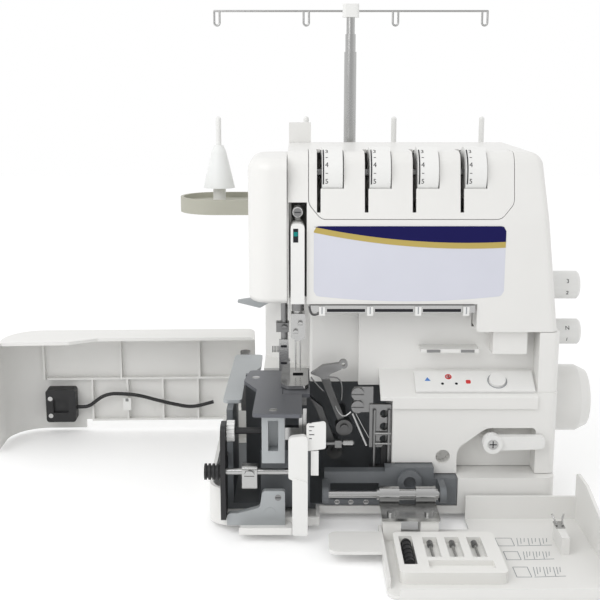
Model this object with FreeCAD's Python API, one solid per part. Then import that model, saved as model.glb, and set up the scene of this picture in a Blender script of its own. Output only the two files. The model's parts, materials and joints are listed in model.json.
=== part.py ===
import FreeCAD, Part
import math
import os

V = FreeCAD.Vector

# The machine is laid out about the needle, with X to the right, Y to the back and Z up from the table.
# The origin of the whole object is this point of that layout.
ORIGIN_X = -25.1
ORIGIN_Y = -26.7

# Shared walls and clearances
WALL = 3.0
SEAM = 0.5
PAST = 5.0
RUN = 0.05
FREE = 0.6

# Base tray and feet
FOOT_RADIUS = 9.0
FOOT_HEIGHT = 5.0
FOOT_INSET = 26.0
BASE_LEFT = -74.0
BASE_RIGHT = 211.0
BASE_REAR = 108.0
BASE_FRONT = -74.0
BAY_FRONT = -98.0
BAY_RIGHT = 16.0
BASE_RIM = 36.0
BASE_LIP = 12.0
BASE_CORNER = 20.0
CHIP_REACH = 21.0

# Bed casting under the plates
BED_FLOOR = 5.0
BED_WALL = 5.0
BED_LEFT = -60.0
BED_REAR = 9.0
BEAM_TOP = 42.0
BEAM_STEP = 36.0
BEAM_LEFT = 20.0
BOSS_X = 90.0
BOSS_Z = 34.0
BOSS_RADIUS = 10.0
BOSS_PLATE = 40.0

# Cloth plate and needle plate
PLATE_TOP = 105.0
PLATE_THICK = 3.0
PLATE_SCREW_RADIUS = 3.5
PLATE_SCREW_SLOT = 1.2
PLATE_SCREW_INSET = 10.0
PLATE_SCREW_BACK = 2.0
PLATE_SCREW_FRONT = 12.0
PLATE_FRONT_INSET = 11.0
PLATE_FRONT_LEAN = 2.0
PLATE_REAR_INSET = 4.0
PLATE_EAR = 8.0
PLATE_WAIST = 12.0
PLATE_WAIST_FRONT = 34.0
PLATE_LEFT = -48.0
PLATE_FRONT = -117.0
PLATE_RIGHT = 1.5
NEEDLE_PLATE_LEFT = -14.0
NEEDLE_PLATE_RIGHT = 8.0
NEEDLE_PLATE_FRONT = -63.0
NEEDLE_PLATE_REAR = 8.0
NEEDLE_SLOT = 3.0
FEED_LEFT_INSET = 4.0
FEED_RIGHT_INSET = 3.6
FEED_FRONT = 26.0
FEED_BACK = 12.0
FEED_DEPTH = 8.0
FEED_TEETH = 9
FEED_BAR_LOW = 14.0
FEED_BAR_HIGH = 7.0
FEED_BAR_WIDTH = 6.0
INNER_PLATE_TOP = 97.0
INNER_PLATE_LAP = 4.0
INNER_PLATE_WAIST = 12.0
INNER_PLATE_BACK = 40.0
INNER_PLATE_TAIL = 16.0

# Column and front casing
COLUMN_LEFT = 76.0
COLUMN_RIGHT = 212.0
COLUMN_FRONT = -64.0
COLUMN_REAR = 76.0
COLUMN_TAIL = 16.0
COLUMN_TAIL_LEFT = PLATE_LEFT + COLUMN_TAIL
VENT_COUNT = 9
VENT_PITCH = 2.5 * WALL
VENT_LOW = 12.0
VENT_HIGH = 46.0
TRAY_RIB_HALF = 16.0
TRAY_RIB_HEIGHT = 30.0
REAR_TAB_WIDTH = 20.0
REAR_TAB_LAP = 2.0
REAR_TAB_RISE = 18.0
INLET_LEFT = 56.0
INLET_RIGHT = 28.0
INLET_LOW = 14.0
INLET_HIGH = 34.0
INLET_DEPTH = 14.0
INLET_FLANGE = 3.0
INLET_FLANGE_THICK = 1.5
INLET_RIM = 4.0
INLET_PIN_SHARES = (0.3, 0.7)
INLET_PIN_HALF = 1.0
RECESS_Y = -40.0
POST_WIDTH = 17.0
CASING_BOTTOM = 46.0
SHELF_LOW = 103.0
SHELF_HIGH = 120.0
SHELF_LEFT = 66.0
SHELF_LIP = 2.0
BAY_TOP = 106.0
BAY_PANEL_Y = -30.0
BAY_PANEL_X = 8.0
BAY_PANEL_RIGHT = 49.0
NOTCH_LEFT = 130.0
NOTCH_TOP = 76.0
NOTCH_DEPTH = 18.0
PORT_X = 118.5
PORT_Z = 51.0
PORT_RADIUS = 6.0
PORT_DEPTH = 14.0

# Head
HEAD_LEFT = -42.0
HEAD_RIGHT_LOW = 209.5
HEAD_RIGHT_TOP = 193.0
HEAD_FRONT = -62.0
HEAD_TOP = 301.0
HEAD_BOTTOM = 180.0
HEAD_STEP_X = 143.0
HEAD_STEP = 23.0
HEAD_STEP_Z = HEAD_BOTTOM - HEAD_STEP
HEAD_LEAN = 12.0
HEAD_LEAN_DROP = 55.0
HEAD_LEAN_Z = HEAD_TOP - HEAD_LEAN_DROP
HEAD_ROUND = 12.0
FACE_RIGHT = -10.0
FACE_REAR = 26.0
FACE_DROP = 4.0
FACE_TOP = HEAD_TOP - FACE_DROP
FACE_CORNER = 20.0

# Take-up cover in its slot
SLOT_LEFT = -9.2
SLOT_RIGHT = 5.4
SLOT_DROP = 39.0
SLOT_TOP = HEAD_TOP - SLOT_DROP
SLOT_DEPTH = 20.0
TAKEUP_WIDTH = 11.0
TAKEUP_DROP = 16.0
TAKEUP_TOP = SLOT_TOP - TAKEUP_DROP
TAKEUP_PROUD = 4.0

# Tension panel and dials
PANEL_LEFT = 7.0
PANEL_RIGHT = 170.0
PANEL_HEIGHT = 52.0
PANEL_BOTTOM = HEAD_TOP - PANEL_HEIGHT
PANEL_BACK = -14.0
DIAL_COUNT = 4
DIAL_FIRST = 25.6
DIAL_PITCH = 38.0
DIAL_WIDTH = 16.4
DIAL_RADIUS = 21.0
DIAL_Y = -37.0
DIAL_DROP = 17.5
DIAL_Z = HEAD_TOP - DIAL_DROP
DIAL_GAP = 1.0
TENSION_ROD_RADIUS = 3.0
THREAD_SLOT_WIDTH = 3.0
THREAD_SLOT_RISE = 5.0
THREAD_SLOT_BOTTOM = PANEL_BOTTOM + THREAD_SLOT_RISE

# Thread guide bar under the head
GUIDE_BAR_RIGHT = 141.0
GUIDE_BAR_HEIGHT = 6.0
GUIDE_BAR_DEPTH = 5.0

# Needle and presser
NEEDLE_X = -1.7
NEEDLE_Y = -16.0
NEEDLE_BAR_RADIUS = 3.6
NEEDLE_BAR_TOP = 236.0
CLAMP_WIDTH = 12.0
CLAMP_DEPTH = 12.0
CLAMP_BOTTOM = 139.0
CLAMP_TOP = 163.0
CLAMP_LEAN = 3.0
CLAMP_SCREW_HEAD = 4.0
CLAMP_SCREW_RADIUS = 2.2
CLAMP_SCREW_SLOT = 0.8
CLAMP_SCREW_SHARES = (0.35, 0.65)
NEEDLE_SOCKET = 8.0
NEEDLE_POINT = 4.0
NEEDLE_POINT_RADIUS = 0.1
NEEDLE_RADIUS = 0.6
NEEDLE_TIP = 111.0
NEEDLE_SPREAD = 4.0
BUSH_RADIUS = 5.2
BUSH_DROP = 15.0
BUSH_BOTTOM = HEAD_BOTTOM - BUSH_DROP
PRESSER_X = -13.5
PRESSER_Y = -6.0
PRESSER_RADIUS = 3.0
PRESSER_TOP = 216.0
SOLE_LEFT = -16.0
SOLE_RIGHT = 7.0
SOLE_FRONT = -52.0
SOLE_REAR = 4.0
SOLE_THICK = 3.0
FOOT_SOCKET = 8.0
COLLAR_LEFT = 7.0
COLLAR_RIGHT = 4.0
COLLAR_LOW = 36.0
COLLAR_HIGH = 44.0
COLLAR_SCREW_HEAD = 4.0
COLLAR_SCREW_RADIUS = 2.6
COLLAR_SCREW_SLOT = 0.9
TOE_LEFT = 5.0
TOE_LEFT_BACK = 8.0
TOE_RIGHT = 3.0
TOE_RIGHT_BACK = 6.0
TOE_SLOT_FRONT = 5.0
TOE_SLOT_BACK = 4.0
ANKLE_HALF = 5.0
ANKLE_TOP = 14.0
ANKLE_WIDTH = 7.4
LIFTER_PIVOT_X = -22.0
LIFTER_DROP = 8.0
LIFTER_PIVOT_Z = HEAD_BOTTOM - LIFTER_DROP
LIFTER_Y = 33.0
LIFTER_TIP_X = -56.0
LIFTER_TIP_DROP = 11.0
LIFTER_TIP_Z = LIFTER_PIVOT_Z - LIFTER_TIP_DROP
LIFTER_PAD = 20.0
LIFTER_THICK = 5.0
LIFTER_PIN = 2.0
LIFTER_GAP = 2.0
LIFTER_BRACKET = 6.0

# Loopers, knives and feed
LOWER_X = 30.0
LOWER_Z = 44.0
LOWER_Y = -26.0
UPPER_X = 37.0
UPPER_Z = 72.0
UPPER_Y = -46.0
LOOPER_SHAFT_RADIUS = 3.5
LOOPER_THICK = 6.0
LOOPER_SHAFT_FRONT = 8.0
LOOPER_HUB_HALF = 6.0
LOWER_ARM = ((-3.0, 0.0), (3.0, 0.0), (-11.0, 39.0, 5), (-22.0, 48.0), (-16.0, 37.0, 6))
UPPER_ARM = (
    (-3.0, 0.0),
    (3.0, 0.0),
    (-14.0, 45.0, 4),
    (-2.0, 50.0, 2),
    (-3.0, 55.0, 2),
    (-18.0, 53.0, 5),
    (-28.0, 46.0),
    (-20.0, 43.0, 4),
)
EYE_OFFSET = (-1.0, 54.0)
EYE_RADIUS = 3.6
EYE_HOLE = 1.6
GUIDE_HOLES = 3
GUIDE_HOLE_Z = 65.0
GUIDE_HOLE_PITCH = 11.0
GUIDE_SCREW_Z = 93.0
GUIDE_SCREW_RADIUS = 5.2
GUIDE_PLATE_WIDTH = 18.0
GUIDE_PLATE_LOW = 58.0
GUIDE_PLATE_DROP = 8.0
GUIDE_PLATE_THICK = 4.0
GUIDE_POST_WIDTH = 8.0
GUIDE_EAR = 13.0
GUIDE_HOLE_RADIUS = 3.4
GUIDE_ROD_RADIUS = 1.4
GUIDE_SCREW_SLOT = 1.2
FEED_WIDTH = 2.4
FEED_TRAVEL = 2.0
KNIFE_Y = -100.0
KNIFE_Z = 52.0
BRACKET_FRONT = 8.0
BRACKET_BACK = 6.0
BRACKET_RISE = 8.0
BRACKET_LEAN = 4.0
KNIFE_STAY = 6.0
KNIFE_CLAMP_INSET = 16.0
KNIFE_CLAMP_WIDTH = 12.0
KNIFE_CLAMP = ((-6.0, -13.0, 2), (5.0, -13.0, 2), (6.0, 6.0, 3), (-6.0, 6.0, 3))
KNIFE_SCREW_SEAT = 6.0
KNIFE_SCREW_HEAD = 4.0
KNIFE_SCREW_SLOT = 1.0
BLADE_HALF = 5.0
BLADE_HEEL = 2.0
BLADE_TOE = 1.0
GRIP_CAP = 4.0
GRIP_RADIUS = 5.0
GRIP_RIBS = 4
GRIP_PITCH = 3.2
GRIP_RIB = 1.8
GRIP_RIB_RADIUS = 6.5
LOWER_BLADE_HALF = 6.0
LOWER_BLADE_LOW = 28.0
BLADE_ARM_FRONT = 4.0
BLADE_ARM_BACK = 2.0
BLADE_ARM_HIGH = 38.0
KNIFE_SHAFT_RADIUS = 2.7
KNIFE_LEFT = -72.0
KNIFE_X = 2.4
KNIFE_THICK = 2.8
GUARD_LEFT = -6.0
BRACKET_X = -63.0
BRACKET_THICK = 4.0
CARRIER_LEFT = -30.0
CARRIER_RIGHT = -12.0
CARRIER_BOTTOM = 62.0
WIDTH_DIAL_Y = -88.0
WIDTH_DIAL_Z = 82.0
WIDTH_DIAL_RADIUS = 8.5
WIDTH_DIAL_THICK = 6.0
KNURL_COUNT = 16
KNURL_RADIUS = 0.9

# Drive
SHAFT_Y = 0.0
SHAFT_Z = 83.0
SHAFT_RADIUS = 6.0
WHEEL_RADIUS = 29.0
WHEEL_LEFT = 214.0
WHEEL_RIGHT = 250.0
WHEEL_RIM = 9.0
PULLEY_X = 168.0
PULLEY_WIDTH = 12.0
PULLEY_RADIUS = 27.0
MOTOR_Y = 44.0
MOTOR_Z = 46.0
MOTOR_RADIUS = 24.0
MOTOR_LEFT = 96.0
MOTOR_RIGHT = 152.0
MOTOR_PULLEY_RADIUS = 8.0
MOTOR_SHAFT_RADIUS = 3.0
BELT_THICK = 2.0

# Dials on the right
SIDE_DIAL_Y = -5.0
LENGTH_DIAL_Z = 185.0
LENGTH_DIAL_RADIUS = 12.0
LENGTH_DIAL_END = 238.0
DIFF_DIAL_Z = 144.0
DIFF_DIAL_RADIUS = 11.0
DIFF_DIAL_END = 241.0
SIDE_DIAL_STEM = 4.0
SIDE_DIAL_RIM = 1.6

# Selector lever and threading panel
LEVER_X = 158.0
LEVER_Z = 65.0
LEVER_END = 201.0
LEVER_HUB = 8.0
LEVER_THICK = 6.0
PANEL_X0 = 95.0
PANEL_X1 = 193.0
PANEL_PLATE = 2.0
BUTTON_X = 163.0
BUTTON_RADIUS = 6.8
BUTTON_TRAVEL = 1.5

# Spool tray, pins and telescopic pole
TRAY_HALF = 36.0
TRAY_Y = COLUMN_REAR + WALL + TRAY_HALF
TRAY_LEFT = -114.0
TRAY_RIGHT = 208.0
TRAY_TOP = 248.0
TRAY_HEIGHT = 14.0
TRAY_DISH = 5.0
TRAY_BOTTOM = TRAY_TOP - TRAY_HEIGHT
TRAY_FLOOR = TRAY_TOP - TRAY_DISH
PIN_COUNT = 4
PIN_FIRST = -77.0
PIN_PITCH = 82.8
PIN_RADIUS = 2.8
PIN_TIP_RADIUS = 2.5
PIN_COLLAR = 6.0
CONE_BASE_RADIUS = 15.0
CONE_TOP_RADIUS = 7.0
CONE_TIP_RADIUS = 4.5
CONE_CAP = 6.0
CONE_WALL = 2.0
CONE_RISE = 13.0
CONE_HEIGHT = 40.0
CONE_BOTTOM = TRAY_FLOOR + CONE_RISE
CONE_TOP = CONE_BOTTOM + CONE_HEIGHT
PIN_FREE = 27.0
PIN_TOP = CONE_TOP + PIN_FREE
POLE_X = 46.8
POLE_Y = 112.0
POLE_RADIUS = 5.7
POLE_STEP = 0.85
POLE_TOP = 382.0
MIDDLE_REACH = 16.0
MIDDLE_TOP = POLE_TOP + MIDDLE_REACH
MIDDLE_BOTTOM = 250.0
INNER_REACH = 23.0
INNER_TOP = MIDDLE_TOP + INNER_REACH
INNER_BOTTOM = 262.0
GUIDE_DROP = 2.0
GUIDE_Z = INNER_TOP - GUIDE_DROP
WIRE_RADIUS = 1.0
BRACKET_WIDTH = 15.0
BRACKET_DEPTH = 12.0
BRACKET_GRIP = 8.0
BRACKET_CAP = 4.0
BRACKET_BOTTOM = INNER_TOP - BRACKET_GRIP
BRACKET_TOP = INNER_TOP + BRACKET_CAP
GUIDE_Y = POLE_Y + BRACKET_DEPTH / 2 - WIRE_RADIUS / 2
HOOK_DROP = 13.0
HOOK_WIDTH = 5.0

# Side cover, drawn closed and then swung open
SIDE_OUTER = -97.0
SIDE_INNER = -54.0
SIDE_REAR = 128.0
SIDE_FRONT = -126.0
SIDE_TOP = 108.0
SIDE_LOW = 12.0
SIDE_FRONT_LOW = 3.0
SIDE_FRONT_REACH = -28.0
SIDE_CORNER = 40.0
SIDE_HINGE_X = -54.0
SIDE_HINGE_Y = 117.0
SIDE_OPEN = 88.0
SIDE_PIN_RADIUS = 2.5
SIDE_KNUCKLE_RADIUS = 5.0
SIDE_RIB = 6.0
SIDE_RIB_THICK = 2.0
SWITCH_Y = -72.0
SWITCH_WIDTH = 30.0
SWITCH_BOTTOM = 14.0
SWITCH_HEIGHT = 34.0
SWITCH_DEPTH = 15.0
CABLE_RADIUS = 1.8
CABLE_RISE = 14.0
CABLE_LIFT = 0.6
CABLE_PATH = (
    (0.0, 0.0),
    (12.0, 0.0),
    (30.0, 14.0),
    (60.0, 13.0),
    (90.0, 4.0),
    (118.0, -2.0),
    (140.0, 4.0),
)
SIDE_RIB_Z = 56.0
SIDE_RIB_PITCH = 36.0
SIDE_UPPER_RIBS = (-18.0, 60.0, 140.0)

# Front cover, drawn closed and then folded open
COVER_LEFT = 62.0
COVER_RIGHT = 229.0
COVER_FACE = -118.0
COVER_BOTTOM = 16.5
COVER_TOP = 152.0
COVER_WALL = 2.6
COVER_FLANGE = -96.0
COVER_FLANGE_LEFT = 136.0
COVER_SIDE_DEPTH = -76.0
COVER_SIDE_TOP = -98.0
CLIP_POST_INSET = 24.0
CLIP_POST_RISE = 41.0
CLIP_POST_WIDTH = 6.0
CLIP_POST_HEIGHT = 14.0
CLIP_POST_LENGTH = 29.0
COVER_LOW_LEFT = 40.0
COVER_HINGE_Y = -90.0
COVER_HINGE_Z = 28.6
COVER_OPEN = 90.0
HINGE_ROD_RADIUS = 3.0
SLEEVE_RADIUS = 4.6
KNUCKLE_WIDTH = 16.0
KNUCKLE_RADIUS = 7.0
ROD_LEFT = 18.0
ROD_RIGHT = 118.0
LUG_WIDTH = 5.0
FLAP_LEFT = 22.0
FLAP_BOTTOM = 60.0
FLAP_TOP = 96.0
FLAP_Y = -108.0
ACCESSORY_LEFT = 72.0
ACCESSORY_RIGHT = 150.0
ACCESSORY_BOTTOM = 64.0
ACCESSORY_TOP = 134.0
ACCESSORY_DEPTH = 9.0

AXES = {"X": V(1, 0, 0), "Y": V(0, 1, 0), "Z": V(0, 0, 1)}


# Shape helpers
def place(plane, a, b, c):
    if plane == "XY":
        return V(a, b, c)
    if plane == "XZ":
        return V(a, c, b)
    return V(c, a, b)


def box(x0, x1, y0, y1, z0, z1):
    return Part.makeBox(x1 - x0, y1 - y0, z1 - z0, V(x0, y0, z0))


def rod(axis, centre, lo, hi, radius):
    starts = {"X": V(lo, *centre), "Y": V(centre[0], lo, centre[1]), "Z": V(*centre, lo)}
    return Part.makeCylinder(radius, hi - lo, starts[axis], AXES[axis])


def tube(axis, centre, lo, hi, outer, inner):
    return rod(axis, centre, lo, hi, outer).cut(rod(axis, centre, lo - 1, hi + 1, inner))


def outline(points, plane, level):
    edges = []
    joints = []
    count = len(points)
    for i, point in enumerate(points):
        here = V(point[0], point[1], 0)
        radius = point[2] if len(point) > 2 else 0
        if radius == 0:
            joints.append((here, None, here))
            continue
        before = V(*points[i - 1][:2], 0).sub(here).normalize()
        after = V(*points[(i + 1) % count][:2], 0).sub(here).normalize()
        half = before.getAngle(after) / 2
        reach = radius / math.tan(half)
        bisector = before.add(after).normalize()
        middle = here.add(bisector.multiply(radius / math.sin(half) - radius))
        joints.append((here.add(before.multiply(reach)), middle, here.add(after.multiply(reach))))

    def lift(p):
        return place(plane, p.x, p.y, level)

    for i, (start, middle, end) in enumerate(joints):
        if middle:
            edges.append(Part.Arc(lift(start), lift(middle), lift(end)).toShape())
        following = joints[(i + 1) % count][0]
        if end.distanceToPoint(following) > 1e-6:
            edges.append(Part.LineSegment(lift(end), lift(following)).toShape())
    return Part.Wire(edges)


def prism(points, plane, lo, hi, inset=0):
    wire = outline(points, plane, lo)
    if inset:
        wire = wire.makeOffset2D(-inset, join=2)
    normal = {"XY": V(0, 0, 1), "XZ": V(0, 1, 0), "YZ": V(1, 0, 0)}[plane]
    return Part.Face(wire).extrude(normal * (hi - lo))


def join(*shapes):
    return shapes[0].fuse(list(shapes[1:])).removeSplitter()


def group(shapes):
    return Part.makeCompound(shapes)


def round_edges(shape, radius, wanted):
    return shape.makeFillet(radius, [edge for edge in shape.Edges if wanted(edge)])


def middle_of(edge):
    return edge.valueAt((edge.FirstParameter + edge.LastParameter) / 2)


def turned(shape, point, axis, degrees):
    moved = shape.copy()
    moved.rotate(point, axis, degrees)
    return moved


def slotted_screw(axis, centre, lo, hi, radius, slot_at, slot_width):
    head = rod(axis, centre, lo, hi, radius)
    half = slot_width / 2
    depth = slot_width
    reach = radius + 1
    near = slot_at - depth
    far = slot_at + depth
    if axis == "Y":
        slot = box(centre[0] - reach, centre[0] + reach, near, far, centre[1] - half, centre[1] + half)
    else:
        slot = box(centre[0] - reach, centre[0] + reach, centre[1] - half, centre[1] + half, near, far)
    return head.cut(slot)


def knurled(axis, centre, lo, hi, radius, count, groove):
    wheel = rod(axis, centre, lo, hi, radius)
    cuts = []
    for i in range(count):
        angle = 2 * math.pi * i / count
        a = centre[0] + radius * math.cos(angle)
        b = centre[1] + radius * math.sin(angle)
        cuts.append(rod(axis, (a, b), lo - 1, hi + 1, groove))
    return wheel.cut(cuts)


# Base and bed
def base_points():
    return [
        (BASE_LEFT, BAY_FRONT, BASE_CORNER),
        (BAY_RIGHT, BAY_FRONT, WALL),
        (BAY_RIGHT, BASE_FRONT),
        (BASE_RIGHT, BASE_FRONT, BASE_CORNER / 2),
        (BASE_RIGHT, BASE_REAR, BASE_CORNER),
        (BASE_LEFT, BASE_REAR, BASE_CORNER),
    ]


def base_tray():
    floor = FOOT_HEIGHT + WALL
    shell = prism(base_points(), "XY", FOOT_HEIGHT, BASE_RIM)
    shell = shell.cut(prism(base_points(), "XY", floor, BASE_RIM + 1, WALL))
    mouth_rear = BASE_FRONT + BASE_CORNER
    mouth = box(BRACKET_X - FREE, NOTCH_LEFT, BAY_FRONT - 1, mouth_rear, BASE_LIP, BASE_RIM + 1)
    ledge_rear = COLUMN_FRONT + NOTCH_DEPTH + WALL
    ledge = box(NOTCH_LEFT, BASE_RIGHT, BASE_FRONT, ledge_rear, BASE_RIM - WALL, BASE_RIM)
    ledge = ledge.common(prism(base_points(), "XY", FOOT_HEIGHT, BASE_RIM))
    return join(shell.cut(mouth), ledge, chip_shelf())


def foot_centres():
    left = BASE_LEFT + FOOT_INSET
    right = BASE_RIGHT - FOOT_INSET
    front = BASE_FRONT + FOOT_INSET
    rear = BASE_REAR - FOOT_INSET
    return [(left, front), (right, front), (right, rear), (left, rear)]


def rubber_feet():
    return group([rod("Z", centre, 0, FOOT_HEIGHT, FOOT_RADIUS) for centre in foot_centres()])


def bed_casting():
    low = FOOT_HEIGHT + WALL
    floor = low + BED_FLOOR
    wall_left = COLUMN_LEFT + WALL + SEAM
    wall_right = COLUMN_RIGHT - POST_WIDTH
    plate = box(BED_LEFT, wall_right, BASE_FRONT + WALL, COLUMN_REAR, low, floor)
    rear = box(PLATE_LEFT, COLUMN_LEFT - SEAM, BED_REAR - BED_WALL, BED_REAR, floor,
               PLATE_TOP - PLATE_THICK)
    left = box(BED_LEFT, BED_LEFT + BED_WALL, BASE_FRONT + WALL, BED_REAR, floor,
               INNER_PLATE_TOP - PLATE_THICK)
    bearers = []
    for edge in (wall_left, wall_right - BED_WALL):
        bearer = box(edge, edge + BED_WALL, RECESS_Y + 2 * WALL, COLUMN_REAR - 2 * WALL, floor,
                     BAY_TOP - WALL)
        bearers.append(bearer)
    beam_front = BASE_FRONT - SEAM
    beam_rear = COLUMN_FRONT - FREE
    boss_left = BOSS_X - BOSS_PLATE / 2
    boss_right = BOSS_X + BOSS_PLATE / 2
    beam = join(
        box(BEAM_LEFT, boss_left, beam_front, beam_rear, floor, BEAM_TOP),
        box(boss_left, boss_right, beam_front, beam_rear, floor, CASING_BOTTOM - SEAM),
        box(boss_right, NOTCH_LEFT - FREE, beam_front, beam_rear, floor, BEAM_STEP),
    )
    window = box(BEAM_LEFT + BED_WALL, boss_left - BED_WALL, BASE_FRONT - 1, COLUMN_FRONT,
                 floor + BED_WALL, BEAM_TOP - 2 * BED_WALL)
    boss = rod("Y", (BOSS_X, BOSS_Z), BASE_FRONT - BED_WALL, beam_rear, BOSS_RADIUS)
    block = box(CARRIER_LEFT - 2, NEEDLE_PLATE_RIGHT, BASE_FRONT - BED_WALL, BASE_FRONT + 4 * BED_WALL,
                floor, CARRIER_BOTTOM)
    lugs = []
    for edge in (ROD_LEFT, ROD_RIGHT - LUG_WIDTH):
        lug = box(edge, edge + LUG_WIDTH, COVER_HINGE_Y, BASE_FRONT - SEAM,
                  COVER_HINGE_Z - KNUCKLE_RADIUS,
                  COVER_HINGE_Z + KNUCKLE_RADIUS)
        eye = rod("X", (COVER_HINGE_Y, COVER_HINGE_Z), edge, edge + LUG_WIDTH, KNUCKLE_RADIUS)
        lugs.extend([lug, eye])
    solid = join(plate, rear, left, *bearers, beam.cut(window), boss, block, *lugs)
    holes = [
        rod("X", (SHAFT_Y, SHAFT_Z), wall_left - 1, wall_right + 1, SHAFT_RADIUS + RUN),
        rod("Y", (LOWER_X, LOWER_Z), BED_REAR - BED_WALL - 1, BED_REAR + 1, LOOPER_SHAFT_RADIUS + RUN),
        rod("Y", (UPPER_X, UPPER_Z), BED_REAR - BED_WALL - 1, BED_REAR + 1, LOOPER_SHAFT_RADIUS + RUN),
        rod("X", (COVER_HINGE_Y, COVER_HINGE_Z), ROD_LEFT - 1, ROD_RIGHT + 1, HINGE_ROD_RADIUS),
        rod("Y", (BOSS_X, BOSS_Z), BASE_FRONT - 2 * BED_WALL, BASE_FRONT, BOSS_RADIUS / 2),
    ]
    return solid.cut(holes)


def lower_guard():
    y0 = KNIFE_Y - 4.0
    y1 = BAY_FRONT - SEAM
    left = BRACKET_X + BRACKET_THICK + SEAM
    low = FOOT_HEIGHT + WALL
    step = low + 2 * BED_WALL
    top = KNIFE_Z - 3 * BED_WALL
    points = [
        (left, low),
        (CARRIER_RIGHT, low),
        (CARRIER_RIGHT, top, 2),
        (CARRIER_LEFT, top, 3),
        (CARRIER_LEFT - 2, step + BED_WALL, 4),
        (CARRIER_LEFT - 4 * BED_WALL, step, 5),
        (left, step, 3),
    ]
    return prism(points, "XZ", y0, y1)


def chip_shelf():
    floor = FOOT_HEIGHT + WALL
    lip = BAY_FRONT - CHIP_REACH
    points = [
        (lip, FOOT_HEIGHT + 1.0, 1.0),
        (BAY_FRONT + WALL, FOOT_HEIGHT + 1.0),
        (BAY_FRONT + WALL, floor),
        (lip + WALL, floor, 1.0),
        (lip + WALL - 1.0, BASE_LIP, 0.5),
        (lip, BASE_LIP, 0.5),
    ]
    return prism(points, "YZ", PLATE_LEFT, GUARD_LEFT - SEAM)


def inner_plate():
    points = [
        (BED_LEFT - INNER_PLATE_LAP, BASE_FRONT + 4 * BED_WALL, 4),
        (PLATE_LEFT - SEAM, BASE_FRONT + 4 * BED_WALL, 3),
        (PLATE_LEFT - SEAM, BED_REAR),
        (PLATE_LEFT + INNER_PLATE_WAIST, BED_REAR + INNER_PLATE_BACK),
        (PLATE_LEFT + INNER_PLATE_WAIST, COLUMN_REAR + INNER_PLATE_TAIL, 4),
        (BED_LEFT - INNER_PLATE_LAP / 2, COLUMN_REAR + INNER_PLATE_TAIL, 6),
    ]
    return prism(points, "XY", INNER_PLATE_TOP - PLATE_THICK, INNER_PLATE_TOP)


def plate_carrier():
    top = PLATE_TOP - PLATE_THICK
    body = box(CARRIER_LEFT, CARRIER_RIGHT, KNIFE_Y - 8.0, BASE_FRONT + 2 * BED_WALL, CARRIER_BOTTOM,
               top)
    hollow = box(CARRIER_LEFT + BED_WALL, CARRIER_RIGHT - BED_WALL, KNIFE_Y - 9.0, KNIFE_Y + 4.0,
                 CARRIER_BOTTOM + 2 * BED_WALL, top - BED_WALL)
    seat = rod("X", (WIDTH_DIAL_Y, WIDTH_DIAL_Z), CARRIER_LEFT - 1, CARRIER_LEFT + BED_WALL / 2,
               KNIFE_SHAFT_RADIUS + RUN)
    return body.cut([hollow, seat])


# Plates on the bed
def plate_screw_centres():
    return [
        (PLATE_LEFT + PLATE_SCREW_INSET, NEEDLE_Y + PLATE_SCREW_BACK),
        ((CARRIER_LEFT + CARRIER_RIGHT) / 2, PLATE_FRONT + PLATE_SCREW_FRONT),
    ]


def cloth_plate():
    low = PLATE_TOP - PLATE_THICK
    inner = NEEDLE_PLATE_LEFT - SEAM
    points = [
        (PLATE_LEFT + PLATE_FRONT_INSET, PLATE_FRONT + PLATE_FRONT_LEAN, 3),
        (PLATE_RIGHT, PLATE_FRONT, 3),
        (PLATE_RIGHT, NEEDLE_PLATE_FRONT - SEAM),
        (inner, NEEDLE_PLATE_FRONT - SEAM),
        (inner, NEEDLE_PLATE_REAR),
        (PLATE_LEFT + PLATE_REAR_INSET, NEEDLE_PLATE_REAR, 4),
        (PLATE_LEFT, NEEDLE_Y - PLATE_EAR, 5),
        (PLATE_LEFT + PLATE_WAIST, NEEDLE_Y - PLATE_WAIST_FRONT, 4),
    ]
    plate = prism(points, "XY", low, PLATE_TOP)
    holes = [rod("Z", c, low - 1, PLATE_TOP + 1, PLATE_SCREW_RADIUS) for c in plate_screw_centres()]
    return plate.cut(holes)


def plate_screws():
    low = PLATE_TOP - PLATE_THICK
    screws = []
    for centre in plate_screw_centres():
        screws.append(slotted_screw("Z", centre, low, PLATE_TOP, PLATE_SCREW_RADIUS, PLATE_TOP,
                                    PLATE_SCREW_SLOT))
    return screws


def feed_slots():
    return [NEEDLE_PLATE_LEFT + FEED_LEFT_INSET, NEEDLE_PLATE_RIGHT - FEED_RIGHT_INSET]


def needle_plate():
    low = PLATE_TOP - PLATE_THICK
    plate = box(NEEDLE_PLATE_LEFT, NEEDLE_PLATE_RIGHT, NEEDLE_PLATE_FRONT, NEEDLE_PLATE_REAR, low,
                PLATE_TOP)
    half = FEED_WIDTH / 2 + FREE
    cuts = []
    for x in feed_slots():
        cuts.append(box(x - half, x + half, NEEDLE_Y - FEED_FRONT, NEEDLE_Y + FEED_BACK, low - 1,
                        PLATE_TOP + 1))
    gap = NEEDLE_SPREAD / 2 + 4 * NEEDLE_RADIUS
    cuts.append(box(NEEDLE_X - gap, NEEDLE_X + gap, NEEDLE_Y - NEEDLE_SLOT, NEEDLE_Y + NEEDLE_SLOT, low - 1,
                    PLATE_TOP + 1))
    return plate.cut(cuts)


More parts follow.
